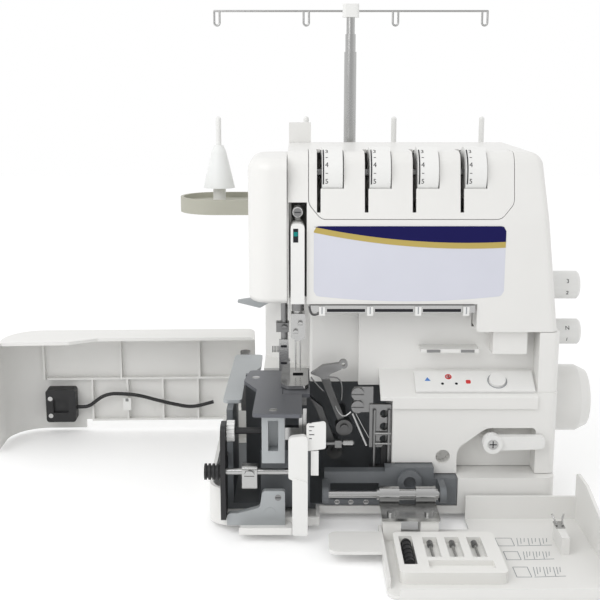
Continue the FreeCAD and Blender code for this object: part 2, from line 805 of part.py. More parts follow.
def feed_dogs():
    half = FEED_WIDTH / 2
    low = PLATE_TOP - PLATE_THICK
    front = NEEDLE_Y - FEED_FRONT + FEED_TRAVEL + FREE
    rear = NEEDLE_Y + FEED_BACK - FEED_TRAVEL - FREE
    rows = []
    for x in feed_slots():
        row = box(x - half, x + half, front, rear, low - FEED_DEPTH, PLATE_TOP)
        pitch = (rear - front) / FEED_TEETH
        cuts = []
        for i in range(FEED_TEETH):
            start = front + i * pitch
            notch = [
                (start, PLATE_TOP + 1),
                (start + pitch, PLATE_TOP - 1),
                (start + pitch, PLATE_TOP + 1),
            ]
            cuts.append(prism(notch, "YZ", x - FEED_WIDTH, x + FEED_WIDTH))
        rows.append(row.cut(cuts))
    left, right = feed_slots()
    bar = box(left - half, right + half, front, front + FEED_BAR_WIDTH, low - FEED_BAR_LOW,
              low - FEED_BAR_HIGH)
    return join(bar, *rows)


# Column, casings and head
def column_upper_points():
    return [
        (BAY_PANEL_X, BAY_PANEL_Y, 3),
        (BAY_PANEL_RIGHT, BAY_PANEL_Y),
        (BAY_PANEL_RIGHT, RECESS_Y),
        (COLUMN_RIGHT - POST_WIDTH, RECESS_Y),
        (COLUMN_RIGHT - POST_WIDTH, HEAD_FRONT),
        (COLUMN_RIGHT, HEAD_FRONT, 6),
        (COLUMN_RIGHT, COLUMN_REAR - SEAM),
        (COLUMN_TAIL_LEFT, COLUMN_REAR - SEAM),
        (COLUMN_TAIL_LEFT, BED_REAR + 48.0, 6),
        (BAY_PANEL_X, BED_REAR + 9.0, 6),
    ]


def column_lower_points():
    rear_left = COLUMN_TAIL_LEFT
    return [
        (COLUMN_LEFT, COLUMN_FRONT, 2),
        (COLUMN_RIGHT, COLUMN_FRONT, 6),
        (COLUMN_RIGHT, COLUMN_REAR - SEAM),
        (rear_left, COLUMN_REAR - SEAM),
        (rear_left, BED_REAR + WALL),
        (COLUMN_LEFT, BED_REAR + WALL),
    ]


def shelf_points(inset):
    front = COLUMN_FRONT - SHELF_LIP + inset
    return [
        (front, SHELF_LOW - 10.0),
        (front, SHELF_LOW - inset, 1.5),
        (RECESS_Y + inset, SHELF_HIGH - inset),
        (COLUMN_REAR / 2, SHELF_HIGH - inset),
        (COLUMN_REAR / 2, SHELF_LOW - 10.0),
    ]


def front_casing():
    low = BASE_RIM + SEAM
    inner_floor = BAY_TOP + WALL
    upper = prism(column_upper_points(), "XY", BAY_TOP, HEAD_BOTTOM - SEAM)
    lower = prism(column_lower_points(), "XY", low, BAY_TOP)
    shelf = prism(shelf_points(0), "YZ", COLUMN_LEFT, COLUMN_RIGHT - POST_WIDTH)
    above = prism([
        (COLUMN_FRONT - SHELF_LIP, SHELF_LOW),
        (RECESS_Y, SHELF_HIGH),
        (COLUMN_FRONT - SHELF_LIP, SHELF_HIGH),
    ], "YZ", COLUMN_LEFT - 1, COLUMN_RIGHT - POST_WIDTH)
    overhang = prism([
        (COLUMN_FRONT - SHELF_LIP, SHELF_LOW - WALL),
        (COLUMN_FRONT - SHELF_LIP, SHELF_LOW, 1),
        (RECESS_Y, SHELF_HIGH),
        (RECESS_Y + WALL, SHELF_HIGH),
        (RECESS_Y + WALL, SHELF_HIGH - 2 * WALL),
    ], "YZ", SHELF_LEFT, COLUMN_LEFT + WALL)
    body = join(upper, lower, shelf, overhang).cut(above)
    rear_open = 4 * WALL
    inner_upper = prism(column_upper_points(), "XY", inner_floor, HEAD_BOTTOM + 1, WALL)
    inner_lower = prism(column_lower_points(), "XY", low - 1, SHELF_LOW - WALL, WALL)
    link_low = SHELF_LOW - 2 * WALL
    link_upper = prism(column_upper_points(), "XY", link_low, inner_floor + WALL, WALL)
    link = link_upper.common(prism(column_lower_points(), "XY", link_low, inner_floor + WALL, WALL))
    inner_rear = box(COLUMN_TAIL_LEFT + WALL, COLUMN_RIGHT - WALL, COLUMN_REAR - rear_open,
                     COLUMN_REAR + 1, low - 1,
                     HEAD_BOTTOM + 1)
    step = box(HEAD_STEP_X - SEAM, COLUMN_RIGHT + 1, HEAD_FRONT - 2 * PAST, COLUMN_REAR + 1,
               HEAD_STEP_Z - SEAM, HEAD_BOTTOM + 1)
    under = box(COLUMN_LEFT - 1, BOSS_X + BOSS_PLATE / 2, COLUMN_FRONT - 2 * PAST, COLUMN_FRONT + WALL + 0.01,
                low - 1, CASING_BOTTOM)
    notch_back = COLUMN_FRONT + NOTCH_DEPTH
    notch_right = COLUMN_RIGHT - POST_WIDTH
    notch = [
        (NOTCH_LEFT, low - 2.0),
        (NOTCH_LEFT, CASING_BOTTOM + 12.0, 12),
        (NOTCH_LEFT + 24.0, NOTCH_TOP, 14),
        (notch_right, NOTCH_TOP, 4),
        (notch_right, low - 2.0),
    ]
    alcove = prism(notch, "XZ", COLUMN_FRONT - 2 * PAST, notch_back)
    backing = prism(notch, "XZ", COLUMN_FRONT, notch_back + WALL, -WALL)
    port_seat = rod("Y", (PORT_X, PORT_Z), COLUMN_FRONT, COLUMN_FRONT + PORT_DEPTH, PORT_RADIUS + WALL)
    port = rod("Y", (PORT_X, PORT_Z), COLUMN_FRONT - PAST, COLUMN_FRONT + PORT_DEPTH - WALL, PORT_RADIUS)
    lever_post = rod("Y", (LEVER_X, LEVER_Z), COLUMN_FRONT - 1.0, notch_back + WALL, LEVER_HUB - 2.0)
    hood_block = box(LEVER_X, LEVER_X + 28.0, HEAD_FRONT + 6.0, RECESS_Y, HEAD_STEP_Z - 20.0,
                     HEAD_STEP_Z - SEAM)
    guide_tray = box(PANEL_X0 + 4.0, PANEL_X0 + 52.0, HEAD_FRONT + 6.0, RECESS_Y, SHELF_HIGH + 18.0,
                     SHELF_HIGH + 21.0)
    shell = body.cut([inner_upper, inner_lower, link, inner_rear, step, under])
    limit = prism(column_lower_points(), "XY", low, HEAD_BOTTOM)
    shell = join(shell, backing.common(limit), port_seat, hood_block, guide_tray)
    shell = join(shell.cut(alcove), lever_post)
    stem = rod("X", (SIDE_DIAL_Y, DIFF_DIAL_Z), COLUMN_RIGHT - 2 * WALL, COLUMN_RIGHT + 1,
               SIDE_DIAL_STEM + RUN)
    shaft_hole = rod("X", (SHAFT_Y, SHAFT_Z), COLUMN_RIGHT - 2 * WALL, COLUMN_RIGHT + 1,
                     SHAFT_RADIUS + FREE)
    pivot = rod("Y", (LEVER_X, LEVER_Z), COLUMN_FRONT - 12.0, COLUMN_FRONT + 8.0, WALL + RUN)
    well = button_rod(BUTTON_RADIUS + FREE, -PANEL_PLATE - BUTTON_TRAVEL - 4.0, PANEL_PLATE)
    return shell.cut([port, stem, shaft_hole, pivot, well])


def rear_points():
    rear_left = COLUMN_TAIL_LEFT
    return [
        (rear_left, BASE_RIM + SEAM),
        (COLUMN_RIGHT, BASE_RIM + SEAM),
        (HEAD_RIGHT_LOW, HEAD_STEP_Z),
        (HEAD_RIGHT_TOP, HEAD_TOP, HEAD_ROUND),
        (FACE_RIGHT, HEAD_TOP, HEAD_ROUND),
        (FACE_RIGHT, HEAD_BOTTOM),
        (rear_left, HEAD_BOTTOM),
    ]


def rear_casing():
    plate = prism(rear_points(), "XZ", COLUMN_REAR, COLUMN_REAR + WALL)
    slots = []
    for i in range(VENT_COUNT):
        x = MOTOR_LEFT + i * VENT_PITCH
        slots.append(box(x, x + WALL, COLUMN_REAR - 1, COLUMN_REAR + WALL + 1, BASE_RIM + VENT_LOW,
                         BASE_RIM + VENT_HIGH))
    inlet = box(*inlet_span(SEAM), COLUMN_REAR - 1, COLUMN_REAR + WALL + 1, *inlet_height(SEAM))
    rib = box(POLE_X - TRAY_RIB_HALF, POLE_X + TRAY_RIB_HALF, COLUMN_REAR + WALL, TRAY_Y - TRAY_HALF + WALL,
              TRAY_BOTTOM - TRAY_RIB_HEIGHT, TRAY_BOTTOM)
    block = box(FACE_RIGHT, FACE_RIGHT + REAR_TAB_WIDTH, COLUMN_REAR, COLUMN_REAR + WALL,
                HEAD_TOP - REAR_TAB_LAP, HEAD_TOP + REAR_TAB_RISE)
    return join(plate.cut(slots + [inlet]), rib, block)


def inlet_span(gap):
    return (COLUMN_RIGHT - INLET_LEFT - gap, COLUMN_RIGHT - INLET_RIGHT + gap)


def inlet_height(gap):
    return (BASE_RIM + INLET_LOW - gap, BASE_RIM + INLET_HIGH + gap)


def power_inlet():
    x0, x1 = inlet_span(0)
    z0, z1 = inlet_height(0)
    front = COLUMN_REAR - INLET_DEPTH
    body = box(x0, x1, front, COLUMN_REAR + WALL, z0, z1)
    flange = box(x0 - INLET_FLANGE, x1 + INLET_FLANGE, COLUMN_REAR + WALL,
                 COLUMN_REAR + WALL + INLET_FLANGE_THICK, z0 - INLET_FLANGE, z1 + INLET_FLANGE)
    socket = box(x0 + INLET_RIM, x1 - INLET_RIM, front + INLET_RIM,
                 COLUMN_REAR + WALL + INLET_RIM / 2, z0 + INLET_RIM, z1 - INLET_RIM)
    pins = []
    for share in INLET_PIN_SHARES:
        x = x0 + share * (x1 - x0)
        pins.append(box(x - INLET_PIN_HALF, x + INLET_PIN_HALF, front + INLET_FLANGE, COLUMN_REAR,
                        (z0 + z1) / 2 - INLET_FLANGE, (z0 + z1) / 2 + INLET_FLANGE))
    return join(body.fuse(flange).cut(socket), *pins)


def head_profile():
    lean_y = HEAD_FRONT + HEAD_LEAN
    return [
        (HEAD_FRONT, HEAD_STEP_Z - 40.0),
        (HEAD_FRONT, HEAD_LEAN_Z, 60),
        (lean_y, HEAD_TOP, HEAD_ROUND),
        (COLUMN_REAR - SEAM, HEAD_TOP),
        (COLUMN_REAR - SEAM, HEAD_STEP_Z - 40.0),
    ]


def head_outline():
    return [
        (FACE_RIGHT, HEAD_BOTTOM),
        (HEAD_STEP_X, HEAD_BOTTOM),
        (HEAD_STEP_X, HEAD_STEP_Z, 3),
        (HEAD_RIGHT_LOW, HEAD_STEP_Z),
        (HEAD_RIGHT_TOP, HEAD_TOP, HEAD_ROUND),
        (FACE_RIGHT, HEAD_TOP),
    ]


def panel_points():
    return [
        (PANEL_LEFT, HEAD_TOP + 2 * PAST),
        (PANEL_LEFT, PANEL_BOTTOM + 12.0, 10),
        (PANEL_LEFT + 10.0, PANEL_BOTTOM, 8),
        (PANEL_RIGHT - 10.0, PANEL_BOTTOM, 8),
        (PANEL_RIGHT, PANEL_BOTTOM + 12.0, 10),
        (PANEL_RIGHT, HEAD_TOP + 2 * PAST),
    ]


def head_solid(inset):
    across = prism(head_outline(), "XZ", HEAD_FRONT - PAST, COLUMN_REAR + PAST, inset)
    along = prism(head_profile(), "YZ", HEAD_LEFT, COLUMN_RIGHT + PAST, inset)
    return across.common(along)


def head_casing():
    outer = head_solid(0)

    def right_end(edge):
        centre = middle_of(edge)
        flat = edge.BoundBox
        along_front = flat.YLength > 1 or flat.ZLength > 1
        at_end = centre.x > HEAD_RIGHT_TOP - 2 and flat.XLength > 0.5
        return at_end and along_front and centre.y < COLUMN_REAR - 2

    outer = round_edges(outer, HEAD_ROUND / 2, right_end)
    inner = head_solid(WALL)
    back = box(FACE_RIGHT + WALL, HEAD_RIGHT_TOP - 2 * HEAD_ROUND, COLUMN_REAR - 2 * PAST, COLUMN_REAR + 1,
               HEAD_BOTTOM + WALL,
               HEAD_TOP - 2 * WALL)
    open_floor = box(BAY_PANEL_X + 2 * WALL, HEAD_STEP_X + WALL, RECESS_Y + WALL, COLUMN_REAR + 1,
                     HEAD_BOTTOM - 1,
                     HEAD_BOTTOM + WALL + 1)
    open_step = box(HEAD_STEP_X + WALL, HEAD_RIGHT_LOW - 3 * WALL, RECESS_Y + WALL, COLUMN_REAR + 1,
                    HEAD_STEP_Z - 1,
                    HEAD_STEP_Z + WALL + 1)
    panel_hole = prism(panel_points(), "XZ", HEAD_FRONT - PAST, PANEL_BACK + SEAM, -SEAM)
    slot = box(SLOT_LEFT, SLOT_RIGHT, HEAD_FRONT - 1, HEAD_FRONT + SLOT_DEPTH, HEAD_BOTTOM - 1,
               SLOT_TOP)
    needle_hole = rod("Z", (NEEDLE_X, NEEDLE_Y), HEAD_BOTTOM - 1, HEAD_BOTTOM + WALL + 1, BUSH_RADIUS)
    presser_hole = rod("Z", (PRESSER_X, PRESSER_Y), HEAD_BOTTOM - 1, HEAD_BOTTOM + WALL + 1,
                       PRESSER_RADIUS + 2.0)
    stem = rod("X", (SIDE_DIAL_Y, LENGTH_DIAL_Z), HEAD_RIGHT_TOP - WALL, COLUMN_RIGHT + 4.0,
               SIDE_DIAL_STEM + RUN)
    boss = rod("X", (SIDE_DIAL_Y, LENGTH_DIAL_Z), HEAD_RIGHT_TOP, HEAD_RIGHT_LOW, 2 * SIDE_DIAL_STEM)
    rod_seats = []
    for edge in (PANEL_LEFT - 2 * WALL, PANEL_RIGHT + WALL):
        rod_seats.append(box(edge, edge + WALL, DIAL_Y - 8.0, DIAL_Y + 8.0, DIAL_Z - 8.0,
                             HEAD_TOP - WALL / 2))
    shell = outer.cut([inner, back, open_floor, open_step, panel_hole, slot])
    shell = join(shell, boss.common(outer), *rod_seats)
    rod_hole = rod("X", (DIAL_Y, DIAL_Z), FACE_RIGHT, PANEL_RIGHT + 3 * WALL, TENSION_ROD_RADIUS)
    return shell.cut([needle_hole, presser_hole, stem, rod_hole])


def tension_panel():
    outer = head_solid(0)
    skin = outer.cut(head_solid(WALL))
    panel = skin.common(prism(panel_points(), "XZ", HEAD_FRONT - PAST, PANEL_BACK))
    cuts = []
    half = DIAL_WIDTH / 2 + DIAL_GAP
    for x in dial_centres():
        cuts.append(rod("X", (DIAL_Y, DIAL_Z), x - half, x + half, DIAL_RADIUS + DIAL_GAP))
        slot_right = x - half + 0.01
        cuts.append(box(slot_right - THREAD_SLOT_WIDTH, slot_right, HEAD_FRONT - PAST, PANEL_BACK + 1,
                        THREAD_SLOT_BOTTOM, HEAD_TOP + PAST))
    return panel.cut(cuts)


def dial_centres():
    return [DIAL_FIRST + i * DIAL_PITCH for i in range(DIAL_COUNT)]


def tension_rod():
    return rod("X", (DIAL_Y, DIAL_Z), PANEL_LEFT - 2 * WALL, PANEL_RIGHT + 2 * WALL, TENSION_ROD_RADIUS)


def tension_dial(x):
    half = DIAL_WIDTH / 2
    return tube("X", (DIAL_Y, DIAL_Z), x - half, x + half, DIAL_RADIUS, TENSION_ROD_RADIUS + RUN)


def face_points():
    return [
        (FACE_RIGHT - SEAM, HEAD_FRONT),
        (HEAD_LEFT, HEAD_FRONT, FACE_CORNER),
        (HEAD_LEFT, FACE_REAR, FACE_CORNER),
        (FACE_RIGHT - SEAM, FACE_REAR),
    ]


def face_cover():
    outer = prism(face_points(), "XY", HEAD_BOTTOM, FACE_TOP)

    def rim(edge):
        flat = edge.BoundBox
        level = abs(flat.ZMin - FACE_TOP) < 0.1 and flat.ZLength < 0.1
        return level and flat.XMin < FACE_RIGHT - SEAM - 0.1

    outer = round_edges(outer, FACE_CORNER / 2, rim)

    def lower_rim(edge):
        flat = edge.BoundBox
        level = abs(flat.ZMin - HEAD_BOTTOM) < 0.1 and flat.ZLength < 0.1
        return level and flat.XMin < FACE_RIGHT - SEAM - 0.1

    outer = round_edges(outer, FACE_CORNER / 4, lower_rim)
    inner = prism(face_points(), "XY", HEAD_BOTTOM + WALL, FACE_TOP - FACE_CORNER / 2, WALL)
    side = box(FACE_RIGHT - SEAM - 2 * WALL, FACE_RIGHT, HEAD_FRONT + WALL, FACE_REAR - WALL,
               HEAD_BOTTOM + WALL,
               FACE_TOP - FACE_CORNER / 2)
    presser_hole = rod("Z", (PRESSER_X, PRESSER_Y), HEAD_BOTTOM - 1, HEAD_BOTTOM + WALL + 1,
                       PRESSER_RADIUS + 2.0)
    return outer.cut([inner, side, presser_hole])


def take_up_cover():
    middle = (SLOT_LEFT + SLOT_RIGHT) / 2
    half = TAKEUP_WIDTH / 2
    front = HEAD_FRONT - TAKEUP_PROUD
    back = HEAD_FRONT + SLOT_DEPTH
    points = [
        (middle - half, HEAD_BOTTOM + 1.0),
        (middle + half, HEAD_BOTTOM + 1.0),
        (middle + half, TAKEUP_TOP, 4),
        (middle - half, TAKEUP_TOP, 4),
    ]
    cover = prism(points, "XZ", front, back)
    hollow = prism(points, "XZ", front + WALL, back - WALL, 2.0)
    screw = rod("Y", (middle, (TAKEUP_TOP + SLOT_TOP) / 2), HEAD_FRONT + 4.0, back, 4.0)
    bridge = box(middle - 2.0, middle + 2.0, back - WALL, back, TAKEUP_TOP - WALL, SLOT_TOP - 4.0)
    return join(cover.cut(hollow), screw, bridge)


def thread_guide_bar():
    top = HEAD_BOTTOM - SEAM
    bar = box(SLOT_RIGHT + 2.0, GUIDE_BAR_RIGHT, HEAD_FRONT - 2.0, HEAD_FRONT - 2.0 + GUIDE_BAR_DEPTH,
              top - GUIDE_BAR_HEIGHT, top)
    notches = []
    for x in dial_centres():
        left = x - DIAL_WIDTH / 2
        notches.append(box(left, left + 2.0, HEAD_FRONT - 3.0, HEAD_FRONT, top - GUIDE_BAR_HEIGHT - 1,
                           top - 2.0))
    stay = box(SLOT_RIGHT + 2.0, GUIDE_BAR_RIGHT, HEAD_FRONT - 2.0 + GUIDE_BAR_DEPTH, RECESS_Y,
               top - 2.0, top)
    return join(bar.cut(notches), stay)


# Needle and presser
def needle_offsets():
    return [NEEDLE_X - NEEDLE_SPREAD / 2, NEEDLE_X + NEEDLE_SPREAD / 2]


def needle_bush():
    return tube("Z", (NEEDLE_X, NEEDLE_Y), BUSH_BOTTOM, HEAD_BOTTOM + 5 * WALL, BUSH_RADIUS,
                NEEDLE_BAR_RADIUS + RUN)


def needle_bar():
    return rod("Z", (NEEDLE_X, NEEDLE_Y), CLAMP_TOP, NEEDLE_BAR_TOP, NEEDLE_BAR_RADIUS)


def needle_clamp():
    points = [
        (NEEDLE_X - CLAMP_WIDTH / 2, CLAMP_BOTTOM + CLAMP_LEAN, 2),
        (NEEDLE_X, CLAMP_BOTTOM, 2),
        (NEEDLE_X + CLAMP_WIDTH / 2, CLAMP_BOTTOM + CLAMP_LEAN, 2),
        (NEEDLE_X + CLAMP_WIDTH / 2, CLAMP_TOP, 1),
        (NEEDLE_X - CLAMP_WIDTH / 2, CLAMP_TOP, 1),
    ]
    front = NEEDLE_Y - CLAMP_DEPTH / 2
    block = prism(points, "XZ", front, NEEDLE_Y + CLAMP_DEPTH / 2)
    screws = []
    for x, share in zip(needle_offsets(), CLAMP_SCREW_SHARES):
        z = CLAMP_BOTTOM + share * (CLAMP_TOP - CLAMP_BOTTOM)
        screws.append(slotted_screw("Y", (x, z), front - CLAMP_SCREW_HEAD, front, CLAMP_SCREW_RADIUS,
                                    front - CLAMP_SCREW_HEAD, CLAMP_SCREW_SLOT))
    sockets = []
    for x in needle_offsets():
        sockets.append(rod("Z", (x, NEEDLE_Y), CLAMP_BOTTOM - 1, CLAMP_BOTTOM + NEEDLE_SOCKET, NEEDLE_RADIUS))
    return join(block, *screws).cut(sockets)


def needles():
    pair = []
    for x in needle_offsets():
        shank = rod("Z", (x, NEEDLE_Y), NEEDLE_TIP + NEEDLE_POINT, CLAMP_BOTTOM + NEEDLE_SOCKET,
                    NEEDLE_RADIUS)
        tip = Part.makeCone(NEEDLE_POINT_RADIUS, NEEDLE_RADIUS, NEEDLE_POINT, V(x, NEEDLE_Y, NEEDLE_TIP),
                            AXES["Z"])
        pair.append(shank.fuse(tip).removeSplitter())
    return pair


def presser_bar():
    low = PLATE_TOP + SEAM + SOLE_THICK
    bar = rod("Z", (PRESSER_X, PRESSER_Y), low + FOOT_SOCKET, PRESSER_TOP, PRESSER_RADIUS)
    face = PRESSER_Y - ANKLE_HALF
    collar = box(PRESSER_X - COLLAR_LEFT, PRESSER_X + COLLAR_RIGHT, face, PRESSER_Y + ANKLE_HALF,
                 low + COLLAR_LOW, low + COLLAR_HIGH)
    head = face - COLLAR_SCREW_HEAD
    screw = slotted_screw("Y", (PRESSER_X, low + (COLLAR_LOW + COLLAR_HIGH) / 2), head, face,
                          COLLAR_SCREW_RADIUS, head, COLLAR_SCREW_SLOT)
    return join(bar, collar, screw)


def presser_foot():
    low = PLATE_TOP + SEAM
    toe = [
        (SOLE_LEFT, SOLE_REAR, 2),
        (SOLE_LEFT, SOLE_FRONT + TOE_LEFT_BACK, 3),
        (SOLE_LEFT + TOE_LEFT, SOLE_FRONT, 3),
        (SOLE_RIGHT - TOE_RIGHT, SOLE_FRONT, 3),
        (SOLE_RIGHT, SOLE_FRONT + TOE_RIGHT_BACK, 3),
        (SOLE_RIGHT, SOLE_REAR, 2),
    ]
    sole = prism(toe, "XY", low, low + SOLE_THICK)
    gap = NEEDLE_SPREAD / 2 + 4 * NEEDLE_RADIUS
    window = box(NEEDLE_X - gap, NEEDLE_X + gap, NEEDLE_Y - TOE_SLOT_FRONT, NEEDLE_Y + TOE_SLOT_BACK,
                 low - 1, low + SOLE_THICK + 1)
    ankle_points = [
        (PRESSER_Y - ANKLE_HALF, low + SOLE_THICK),
        (PRESSER_Y + ANKLE_HALF, low + SOLE_THICK),
        (PRESSER_Y + ANKLE_HALF, low + ANKLE_TOP, 3),
        (PRESSER_Y - ANKLE_HALF, low + ANKLE_TOP, 3),
    ]
    ankle = prism(ankle_points, "YZ", SOLE_LEFT, SOLE_LEFT + ANKLE_WIDTH)
    socket = rod("Z", (PRESSER_X, PRESSER_Y), low + SOLE_THICK + FOOT_SOCKET, low + ANKLE_TOP + 2 * WALL,
                 PRESSER_RADIUS)
    return join(sole.cut(window), ankle).cut(socket)


def lifter_bracket():
    low = LIFTER_PIVOT_Z - LIFTER_BRACKET
    front = LIFTER_Y - LIFTER_GAP - WALL
    plate = box(LIFTER_PIVOT_X - LIFTER_BRACKET, FACE_RIGHT + WALL, front, LIFTER_Y - LIFTER_GAP, low,
                HEAD_BOTTOM)
    pin = rod("Y", (LIFTER_PIVOT_X, LIFTER_PIVOT_Z), front, LIFTER_Y + LIFTER_THICK + LIFTER_GAP,
              LIFTER_PIN)
    return join(plate, pin)


def presser_lifter():
    points = [
        (LIFTER_PIVOT_X + LIFTER_THICK, LIFTER_PIVOT_Z - LIFTER_THICK, 4),
        (LIFTER_PIVOT_X + LIFTER_THICK, LIFTER_PIVOT_Z + LIFTER_THICK, 4),
        (LIFTER_TIP_X + LIFTER_PAD, LIFTER_TIP_Z + LIFTER_THICK, 4),
        (LIFTER_TIP_X, LIFTER_TIP_Z + LIFTER_PIN, 0.8),
        (LIFTER_TIP_X, LIFTER_TIP_Z, 0.8),
        (LIFTER_TIP_X + LIFTER_PAD, LIFTER_TIP_Z - LIFTER_THICK, 4),
    ]
    arm = prism(points, "XZ", LIFTER_Y, LIFTER_Y + LIFTER_THICK)
    bore = rod("Y", (LIFTER_PIVOT_X, LIFTER_PIVOT_Z), LIFTER_Y - 1, LIFTER_Y + LIFTER_THICK + 1,
               LIFTER_PIN + RUN)
    return arm.cut(bore)


# Loopers and knives
def looper(x, y, z, arm):
    half = LOOPER_THICK / 2
    shaft = rod("Y", (x, z), y - LOOPER_SHAFT_FRONT, BED_REAR + 1, LOOPER_SHAFT_RADIUS)
    hub = rod("Y", (x, z), y - LOOPER_HUB_HALF, y + LOOPER_HUB_HALF, 2 * LOOPER_SHAFT_RADIUS)
    points = [(x + across, z + rise, *corner) for across, rise, *corner in arm]
    return [shaft, hub, prism(points, "XZ", y - half, y + half)]


def lower_looper():
    return join(*looper(LOWER_X, LOWER_Y, LOWER_Z, LOWER_ARM))


def upper_looper():
    half = LOOPER_THICK / 2
    across, rise = EYE_OFFSET
    eye = tube("Y", (UPPER_X + across, UPPER_Z + rise), UPPER_Y - half, UPPER_Y + half, EYE_RADIUS,
               EYE_HOLE)
    return join(*looper(UPPER_X, UPPER_Y, UPPER_Z, UPPER_ARM), eye)


def looper_guides():
    x1 = COLUMN_LEFT - SEAM
    x0 = x1 - GUIDE_PLATE_WIDTH
    back = COLUMN_FRONT + 2 * GUIDE_PLATE_THICK
    front = back - GUIDE_PLATE_THICK
    top = SHELF_LOW - GUIDE_PLATE_DROP
    plate = box(x0, x1, front, back, GUIDE_PLATE_LOW, top)
    post = box(x1 - GUIDE_POST_WIDTH, x1, front, back, BEAM_TOP - BED_WALL, GUIDE_PLATE_LOW)
    foot = box(x0, x1, COLUMN_FRONT - FREE, back, BEAM_TOP - BED_WALL, BEAM_TOP)
    holes = []
    for i in range(GUIDE_HOLES):
        z = GUIDE_HOLE_Z + i * GUIDE_HOLE_PITCH
        holes.append(rod("Y", ((x0 + x1) / 2 + WALL, z), COLUMN_FRONT, back + 1, GUIDE_HOLE_RADIUS))
    rods = []
    for x in (x0 + GUIDE_PLATE_THICK, x1 - GUIDE_PLATE_THICK / 2):
        rods.append(rod("Z", (x, front - GUIDE_ROD_RADIUS), BEAM_TOP, top - GUIDE_PLATE_THICK,
                        GUIDE_ROD_RADIUS))
    screws = []
    ear_left = x0 - GUIDE_EAR
    face = front - 1
    for z in (GUIDE_SCREW_Z, GUIDE_SCREW_Z + GUIDE_HOLE_PITCH):
        screws.append(slotted_screw("Y", (ear_left + WALL, z), face, back, GUIDE_SCREW_RADIUS, face,
                                    GUIDE_SCREW_SLOT))
    ear_low = GUIDE_SCREW_Z - GUIDE_SCREW_RADIUS
    ear_high = GUIDE_SCREW_Z + GUIDE_HOLE_PITCH + GUIDE_SCREW_RADIUS
    ear = box(ear_left, x0 + WALL, back - GUIDE_PLATE_THICK / 2, back, ear_low, ear_high)
    return join(plate.cut(holes), post, foot, ear, *rods, *screws)


def knife_bracket():
    points = [
        (KNIFE_Y - BRACKET_FRONT, BASE_LIP + 1, 3),
        (WIDTH_DIAL_Y + BRACKET_BACK, BASE_LIP + 1, 3),
        (WIDTH_DIAL_Y + BRACKET_BACK, WIDTH_DIAL_Z + BRACKET_RISE, 6),
        (KNIFE_Y - BRACKET_LEAN, WIDTH_DIAL_Z + BRACKET_RISE, 6),
        (KNIFE_Y - BRACKET_FRONT, KNIFE_Z + KNIFE_STAY, 4),
    ]
    plate = prism(points, "YZ", BRACKET_X, BRACKET_X + BRACKET_THICK)
    stay = box(BRACKET_X, BRACKET_X + BRACKET_THICK, WIDTH_DIAL_Y, BASE_FRONT + WALL, KNIFE_Z - KNIFE_STAY,
               KNIFE_Z + KNIFE_STAY)
    tab = box(BRACKET_X, BED_LEFT, BASE_FRONT - 1, BASE_FRONT + WALL + BRACKET_LEAN, KNIFE_Z - KNIFE_STAY,
              KNIFE_Z + KNIFE_STAY)
    holes = [
        rod("X", (KNIFE_Y, KNIFE_Z), BRACKET_X - 1, BRACKET_X + BRACKET_THICK + 1,
            KNIFE_SHAFT_RADIUS + RUN),
        rod("X", (WIDTH_DIAL_Y, WIDTH_DIAL_Z), BRACKET_X - 1, BRACKET_X + BRACKET_THICK + 1,
            KNIFE_SHAFT_RADIUS + RUN),
    ]
    return join(plate, stay, tab).cut(holes)


def width_dial():
    centre = (WIDTH_DIAL_Y, WIDTH_DIAL_Z)
    left = BRACKET_X + BRACKET_THICK + FREE
    wheel = knurled("X", centre, left, left + WIDTH_DIAL_THICK, WIDTH_DIAL_RADIUS, KNURL_COUNT,
                    KNURL_RADIUS)
    spindle = rod("X", centre, BRACKET_X, CARRIER_LEFT + BED_WALL / 2 - FREE, KNIFE_SHAFT_RADIUS)
    return join(wheel, spindle)


def upper_knife():
    centre = (KNIFE_Y, KNIFE_Z)
    right = KNIFE_X + KNIFE_THICK
    shaft = rod("X", centre, KNIFE_LEFT, right, KNIFE_SHAFT_RADIUS)
    clamp_left = CARRIER_LEFT - KNIFE_CLAMP_INSET
    points = [(KNIFE_Y + across, KNIFE_Z + rise, corner) for across, rise, corner in KNIFE_CLAMP]
    clamp = prism(points, "YZ", clamp_left, clamp_left + KNIFE_CLAMP_WIDTH)
    seat = KNIFE_Y - KNIFE_SCREW_SEAT
    head = seat - KNIFE_SCREW_HEAD
    screw = slotted_screw("Y", (clamp_left + KNIFE_CLAMP_WIDTH / 2, KNIFE_Z), head, seat, KNIFE_SCREW_HEAD,
                          head, KNIFE_SCREW_SLOT)
    blade = prism([
        (KNIFE_Y - BLADE_HALF, KNIFE_Z - BLADE_HALF, 4),
        (KNIFE_Y + BLADE_HALF, KNIFE_Z - BLADE_HALF, 4),
        (KNIFE_Y + BLADE_HALF, PLATE_TOP - BLADE_HEEL),
        (KNIFE_Y - BLADE_HALF, PLATE_TOP + BLADE_TOE),
    ], "YZ", KNIFE_X, right)
    return join(shaft, clamp, screw, blade)


def knife_grip():
    centre = (KNIFE_Y, KNIFE_Z)
    body = rod("X", centre, KNIFE_LEFT - GRIP_CAP, BRACKET_X - FREE, GRIP_RADIUS)
    ribs = []
    for i in range(GRIP_RIBS):
        x = KNIFE_LEFT - GRIP_CAP + i * GRIP_PITCH
        ribs.append(rod("X", centre, x, x + GRIP_RIB, GRIP_RIB_RADIUS))
    socket = rod("X", centre, KNIFE_LEFT, BRACKET_X, KNIFE_SHAFT_RADIUS)
    return join(body, *ribs).cut(socket)


